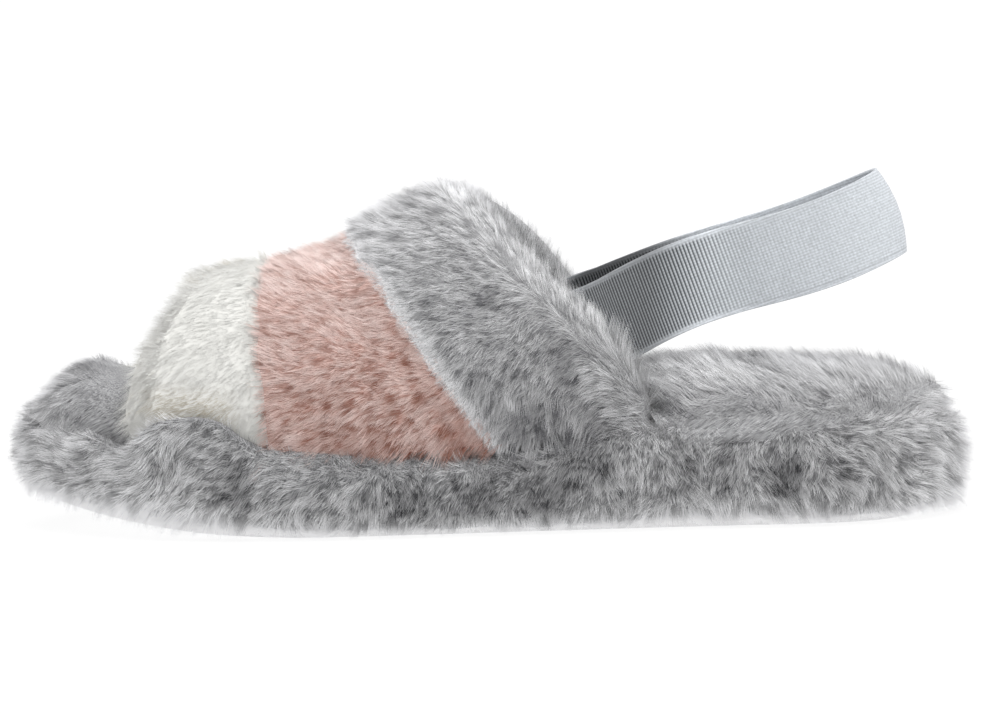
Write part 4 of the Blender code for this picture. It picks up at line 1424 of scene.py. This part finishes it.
roll_ways = np.linspace(-ROLL_WAY, 0.0, ROLL_ROWS)[:-1]
front_ways = PANEL_LONG + np.linspace(0.0, FRONT_WAY, FRONT_ROWS)[1:]
collar_ways = np.concatenate([roll_ways, panel_ways, front_ways])
collar_past = FRONT_RADIUS / FRONT_WAY
collar_edges = collar_rear, collar_front
collar_pad, pad_way, pad_across = panel_shell(collar_surface, *collar_edges, collar_ways, collar_past)
outer_half = smooth_step(0.6 * PANEL_GIRTH, 0.4 * PANEL_GIRTH, pad_across)
pad_rim = outer_half * smooth_step(PANEL_LONG - 4.0, PANEL_LONG, pad_way)
# The pad is painted paler along its outer front rim, as painted light.
collar_pad = with_tone(collar_pad, 0.5 + RIM_PAINTED_LIGHT * pad_rim)
print(f"the collar's roll is an arc of {ROLL_WAY:.1f} mm")

# %% Collar hairs
COLLAR_FALL_LOW = 74
COLLAR_FALL_LESS = 58
ROLL_LAY = (-0.55, 0.0, 0.85)
RIM_SHORTER = 0.6
RIM_MORE = 0.6
# Painted light on the hairs of the rim.
RIM_HAIR_PAINTED_LIGHT = 0.9
COLLAR_BACK_LONGER = 0.7
CROWN_SHORTER = 0.3
# Painted light on the band next to the roll, less up to the crown.
BAND_PAINTED_LIGHT = 0.6
BAND_CROWN_LESS = 0.5


def collar_lay(way, across, point, normal):
    """Back and up on the roll, then over to the toe, and straight down at the foot of the collar."""
    down = np.radians(COLLAR_FALL_LOW - COLLAR_FALL_LESS * height_share(point) ** 0.7)
    edge = smooth_step(20.0, -5.0, way)[:, None]
    return toeward(down) * (1 - edge) + np.array(ROLL_LAY) * edge


def rim(way):
    """1 along the panel's front edge, where the pile is cut short."""
    return smooth_step(PANEL_LONG - 8.0, PANEL_LONG - 3.0, way)


def collar_scale(way, across, point):
    """Longer along the foot and low on the roll, shorter at the crown and along the front edge."""
    high = height_share(point)
    foot = FOOT_LONGER * smooth_step(0.25, 0.0, high) * smooth_step(PANEL_LONG, 0.6 * PANEL_LONG, way)
    back = COLLAR_BACK_LONGER * smooth_step(14.0, 2.0, way) * smooth_step(0.5, 0.3, high)
    crown = CROWN_SHORTER * smooth_step(10.0, 0.0, way) * smooth_step(0.6, 0.9, high)
    return 1 - RIM_SHORTER * rim(way) + foot + back - crown


def collar_painted_light_and_shade(way, across, point):
    """Painted light on the roll and what is next to it, and on the front edge, and painted light and shade
    that make the panel paler up to the crown and darker low down.
    """
    high = height_share(point)
    band = (BAND_PAINTED_LIGHT - BAND_CROWN_LESS * high) * smooth_step(16.0, 2.0, way)
    edge = RIM_HAIR_PAINTED_LIGHT * rim(way) * (1 - 0.7 * smooth_step(-5.0, 15.0, point[:, 1]))
    return band + edge + COLLAR_HEIGHT_PAINTED_SHADE * (high - 0.5)


def collar_share(way, across, point):
    """As on the other panels, with more hairs along the front edge."""
    return outer_share(way, across, point) * (1 + RIM_MORE * rim(way))


spans = (-ROLL_WAY, PANEL_LONG + 0.8 * FRONT_WAY), (0.0, PANEL_GIRTH)
collar_more = {"share": collar_share, "scale": collar_scale, "painted_light_and_shade": collar_painted_light_and_shade, "fall": foot_fall}
collar_locks = fur(collar_surface, spans, COLLAR_HAIRS, collar_lay, COLLAR_COAT, 61, **collar_more)
make_piece("collar_fur", [collar_locks, collar_pad], [grey_hair, grey_under], "collar_fur", "collar_panel")

# %% [markdown]
# ## Heel strap
# The strap is a woven elastic, about one inch wide, with fine ribs across it and a smooth selvedge along both
# edges. Its two ends go into the collar. It is a thin closed sheet along the loop's own path, and the ribs
# are real ridges, fine enough to show as light and dark lines, with painted shade in their grooves. Near the
# collar the elastic is stretched: its ribs open, and it is painted darker, partly as stretched elastic is and
# partly as painted shade from the collar's fur. Round the heel it is slack and pale, and a hem line and fine
# threads show.

# %% The loop's path
STRAP_WIDTH = 25.0
STRAP_THICKNESS = 1.4
STRAP_START_X = 36.0
STRAP_START_Z = 58.0
STRAP_RISE = math.radians(19.6)
STRAP_REACH = 85.0
STRAP_TAB_START = -36.0
STRAP_TAB_END = -14.0
STRAP_FREE = 3.0
STRAP_BOW = 1.2
STRAP_CUP = 2.2
STRAP_TILT = -0.25
STRAP_WALL_ALLOWANCE = 1.25

StrapRow = namedtuple("StrapRow", "along half")
STRAP_ROWS = [
    StrapRow(-14.0, 33.0),
    StrapRow(1.6, 20.0),
    StrapRow(13.4, 10.5),
    StrapRow(20.7, 7.0),
    StrapRow(28.0, 5.4),
    StrapRow(36.0, 5.2),
    StrapRow(46.0, 7.4),
    StrapRow(57.0, 10.0),
    StrapRow(66.0, 11.0),
]
STRAP_WIDEST = STRAP_ROWS[-1].along
STRAP_HALF = STRAP_ROWS[-1].half
strap_half = through(STRAP_ROWS, "along", "half")


def strap_room(x, z):
    """How far from the middle the strap may lie on each side to pass inside the backing."""
    station = station_of(x)
    narrow = end_round(station)
    middle = shift_at(x)
    foot_z = deck_at(station) + GAP
    rise = np.clip((z - foot_z) / (crown_at(x) - foot_z), 0.0, 1.0)
    across = (1 - rise**ARCH_POWER) ** (1 / ARCH_POWER)
    room = UPPER_WALL * STRAP_WALL_ALLOWANCE + GAP + STRAP_THICKNESS
    outer = middle + (UPPER_INSET - outer_width(station) * narrow - middle) * across + room
    inner = middle + (inner_width(station) * narrow - UPPER_INSET - middle) * across - room
    return outer, inner


def strap_surface(along, side, height):
    """The band's middle: tabs along the wall, legs that run together, then a drop-shaped end."""
    share_out = np.clip(along / STRAP_REACH, 0.0, 1.0)
    bow = STRAP_BOW * np.sin(2 * math.pi * share_out)
    cup = STRAP_CUP * (1 - (2 * height / STRAP_WIDTH) ** 2) * (1 - side**2)
    lift = height + bow - STRAP_TILT * side
    x = STRAP_START_X + (along + cup) * math.cos(STRAP_RISE) - lift * math.sin(STRAP_RISE)
    z = STRAP_START_Z + (along + cup) * math.sin(STRAP_RISE) + lift * math.cos(STRAP_RISE)
    out_of_tab = np.maximum(along - STRAP_TAB_END, 0.0)
    outer_wall, inner_wall = strap_room(
        x - out_of_tab * math.cos(STRAP_RISE), z - out_of_tab * math.sin(STRAP_RISE)
    )
    free = smooth_step(STRAP_TAB_END, STRAP_FREE, along)
    outer = outer_wall + (-strap_half(along) - outer_wall) * free
    inner = inner_wall + (strap_half(along) - inner_wall) * free
    return np.stack([x, np.where(side < 0, -side * outer, side * inner), z], axis=-1)


def loop_path(share):
    """Along and side of the loop for a share of its way: out on the outer leg, round, back on the inner."""
    leg = STRAP_WIDEST - STRAP_TAB_START
    swing_long = math.pi * math.sqrt(((STRAP_REACH - STRAP_WIDEST) ** 2 + STRAP_HALF**2) / 2)
    way = share * (2 * leg + swing_long)
    swing = np.clip((way - leg) / swing_long, 0.0, 1.0) * math.pi - math.pi / 2
    from_end = np.minimum(way, 2 * leg + swing_long - way)
    on_turn = (way > leg) & (way < leg + swing_long)
    along = np.where(
        on_turn, STRAP_WIDEST + (STRAP_REACH - STRAP_WIDEST) * np.cos(swing), STRAP_TAB_START + from_end
    )
    return along, np.sin(swing)


LOOP_STEPS = 2000
coarse = np.linspace(0.0, 1.0, LOOP_STEPS + 1)
coarse_line = strap_surface(*loop_path(coarse), 0 * coarse)
loop_way = np.concatenate([[0.0], np.cumsum(np.linalg.norm(np.diff(coarse_line, axis=0), axis=1))])
print(f"the strap is {loop_way[-1]:.0f} mm long")

# %% The ribbed band
RIB_PITCH = 1.1
RIB_STEPS = 4
RIB_DEPTH = 0.3
RIB_OPEN_X = 48.0
RIB_SHUT_X = 84.0
STRETCH_X = 44.0
SLACK_X = 66.0
SELVEDGE = 1.5
HEM = 1.4
HEM_LINE = 0.3
HEM_GREY = 0.3
SMOOTH_GREY = 0.21
STRAP_COLUMNS = [0.0, 0.3, 0.9, HEM, 1.9, 2.6, 6.0, 10.5]

steps = int(round(loop_way[-1] / RIB_PITCH)) * RIB_STEPS
rib_way = np.linspace(0.0, loop_way[-1], steps + 1)[:, None]
from_edge = np.array(STRAP_COLUMNS) - STRAP_WIDTH / 2
height = np.concatenate([from_edge, -from_edge[::-1]])[None, :]
along, side = loop_path(np.interp(rib_way, loop_way, coarse))
middle = strap_surface(along + 0 * height, side + 0 * height, height + 0 * along)
normal = unit(np.cross(np.gradient(middle, axis=0), np.gradient(middle, axis=1)))
edge = STRAP_WIDTH / 2 - np.abs(height)
ribbed = smooth_step(0.4 * SELVEDGE, 1.3 * SELVEDGE, edge)
crest = np.abs(np.cos(math.pi * rib_way / RIB_PITCH))
dip = (1 - crest) * ribbed
thick = (STRAP_THICKNESS / 2 - RIB_DEPTH * dip)[..., None]
band = shell(middle + normal * thick, middle - normal * thick, 0)
# Near the collar the band is painted darker: partly as stretched elastic is, partly as painted shade from the
# collar's fur.
stretched_and_shaded = smooth_step(SLACK_X, STRETCH_X, middle[..., 0])
rib_open = smooth_step(RIB_SHUT_X, RIB_OPEN_X, middle[..., 0])
hem = np.exp(-(((edge - HEM) / HEM_LINE) ** 2)) * (height < 0)
flat = SMOOTH_GREY + (HEM_GREY - SMOOTH_GREY) * hem
# The grooves are painted dark, as painted shade in them; where the ribs shut, a flat grey gives the weave and
# its hem line.
groove = dip * rib_open + flat * (1 - rib_open)
band = band._replace(along=np.tile(groove.ravel(), 2), tone=np.tile(stretched_and_shaded.ravel(), 2))


print(f"{steps // RIB_STEPS} ribs")

# %% The elastic's finish
ELASTIC_PALE = (0.79, 0.825, 0.87)
ELASTIC_DARK = (0.07, 0.08, 0.09)
GROOVE_FROM = 0.02
GROOVE_FULL = 0.6
# Painted shade near the collar, where the elastic is also stretched.
STRETCHED_PAINTED_SHADE = 0.28
THREAD_SCALE = 1400.0
THREAD_DETAIL = 2.0
THREAD_SHADE = (0.7, 1.3)
THREAD_HEIGHT = 0.2 * MM
WARP_PITCH = 0.8 * MM / (2 * math.pi)
WARP_SHADE = (0.88, 1.12)


def elastic_finish():
    """Pale ribs and grooves painted dark as shade, times a darker colour near the collar, where the elastic
    is under stretch and in painted shade, a mottle and fine threads.
    """
    material, shader = principled("elastic")
    rib_stops = [(GROOVE_FROM, ELASTIC_PALE), (GROOVE_FULL, ELASTIC_DARK)]
    rib = ramp(material, attribute(material, "along"), rib_stops)
    darker = spread_over(material, attribute(material, "tone"), 1.0, STRETCHED_PAINTED_SHADE)
    place = add_node(material, "ShaderNodeTexCoord").outputs["Object"]
    thread = noise(material, place, THREAD_SCALE, THREAD_DETAIL)
    across = add_node(material, "ShaderNodeVectorMath", place)
    across.operation = "DOT_PRODUCT"
    upward = -math.sin(STRAP_RISE), 0, math.cos(STRAP_RISE)
    across.inputs[1].default_value = [part / WARP_PITCH for part in upward]
    warp = number_math(material, "SINE", across.outputs["Value"])
    mottle = spread_over(material, thread, *THREAD_SHADE)
    warp_shade = spread_over(material, warp, *WARP_SHADE, -1.0, 1.0)
    woven = number_math(material, "MULTIPLY", mottle, warp_shade)
    shade = number_math(material, "MULTIPLY", darker, woven)
    link(material, scaled(material, rib, shade), shader.inputs["Base Color"])
    add_bump(material, shader, thread, 0.4, THREAD_HEIGHT)
    shader.inputs["Roughness"].default_value = 0.6
    shader.inputs["Sheen Weight"].default_value = 0.1
    return material


strap = make_piece("heel_strap", [band], [elastic_finish()], "elastic", "sling_strap")

# %% [markdown]
# ## Foam sole
# The foam is flat underneath, and only its lower edge shows in places under the fringe. Its solid has the
# right shape, so it stays, with a pale finish of fine closed cells.

# %% Foam finish
FOAM_DARK = (0.78, 0.78, 0.785)
FOAM_LIGHT = (0.90, 0.90, 0.905)
foam = undercoat_finish("foam", FOAM_DARK, FOAM_LIGHT, by_tone=False)
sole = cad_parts["sole"]
sole.data.materials.clear()
sole.data.materials.append(foam)
print("foam sole keeps its solid")

# %% [markdown]
# ## Triangles
# The triangles that the coats add are counted. The coats may stand a little proud of the solids, and
# no more.

# %% Count the triangles
print("triangles added:", sum(triangle_count.values()))
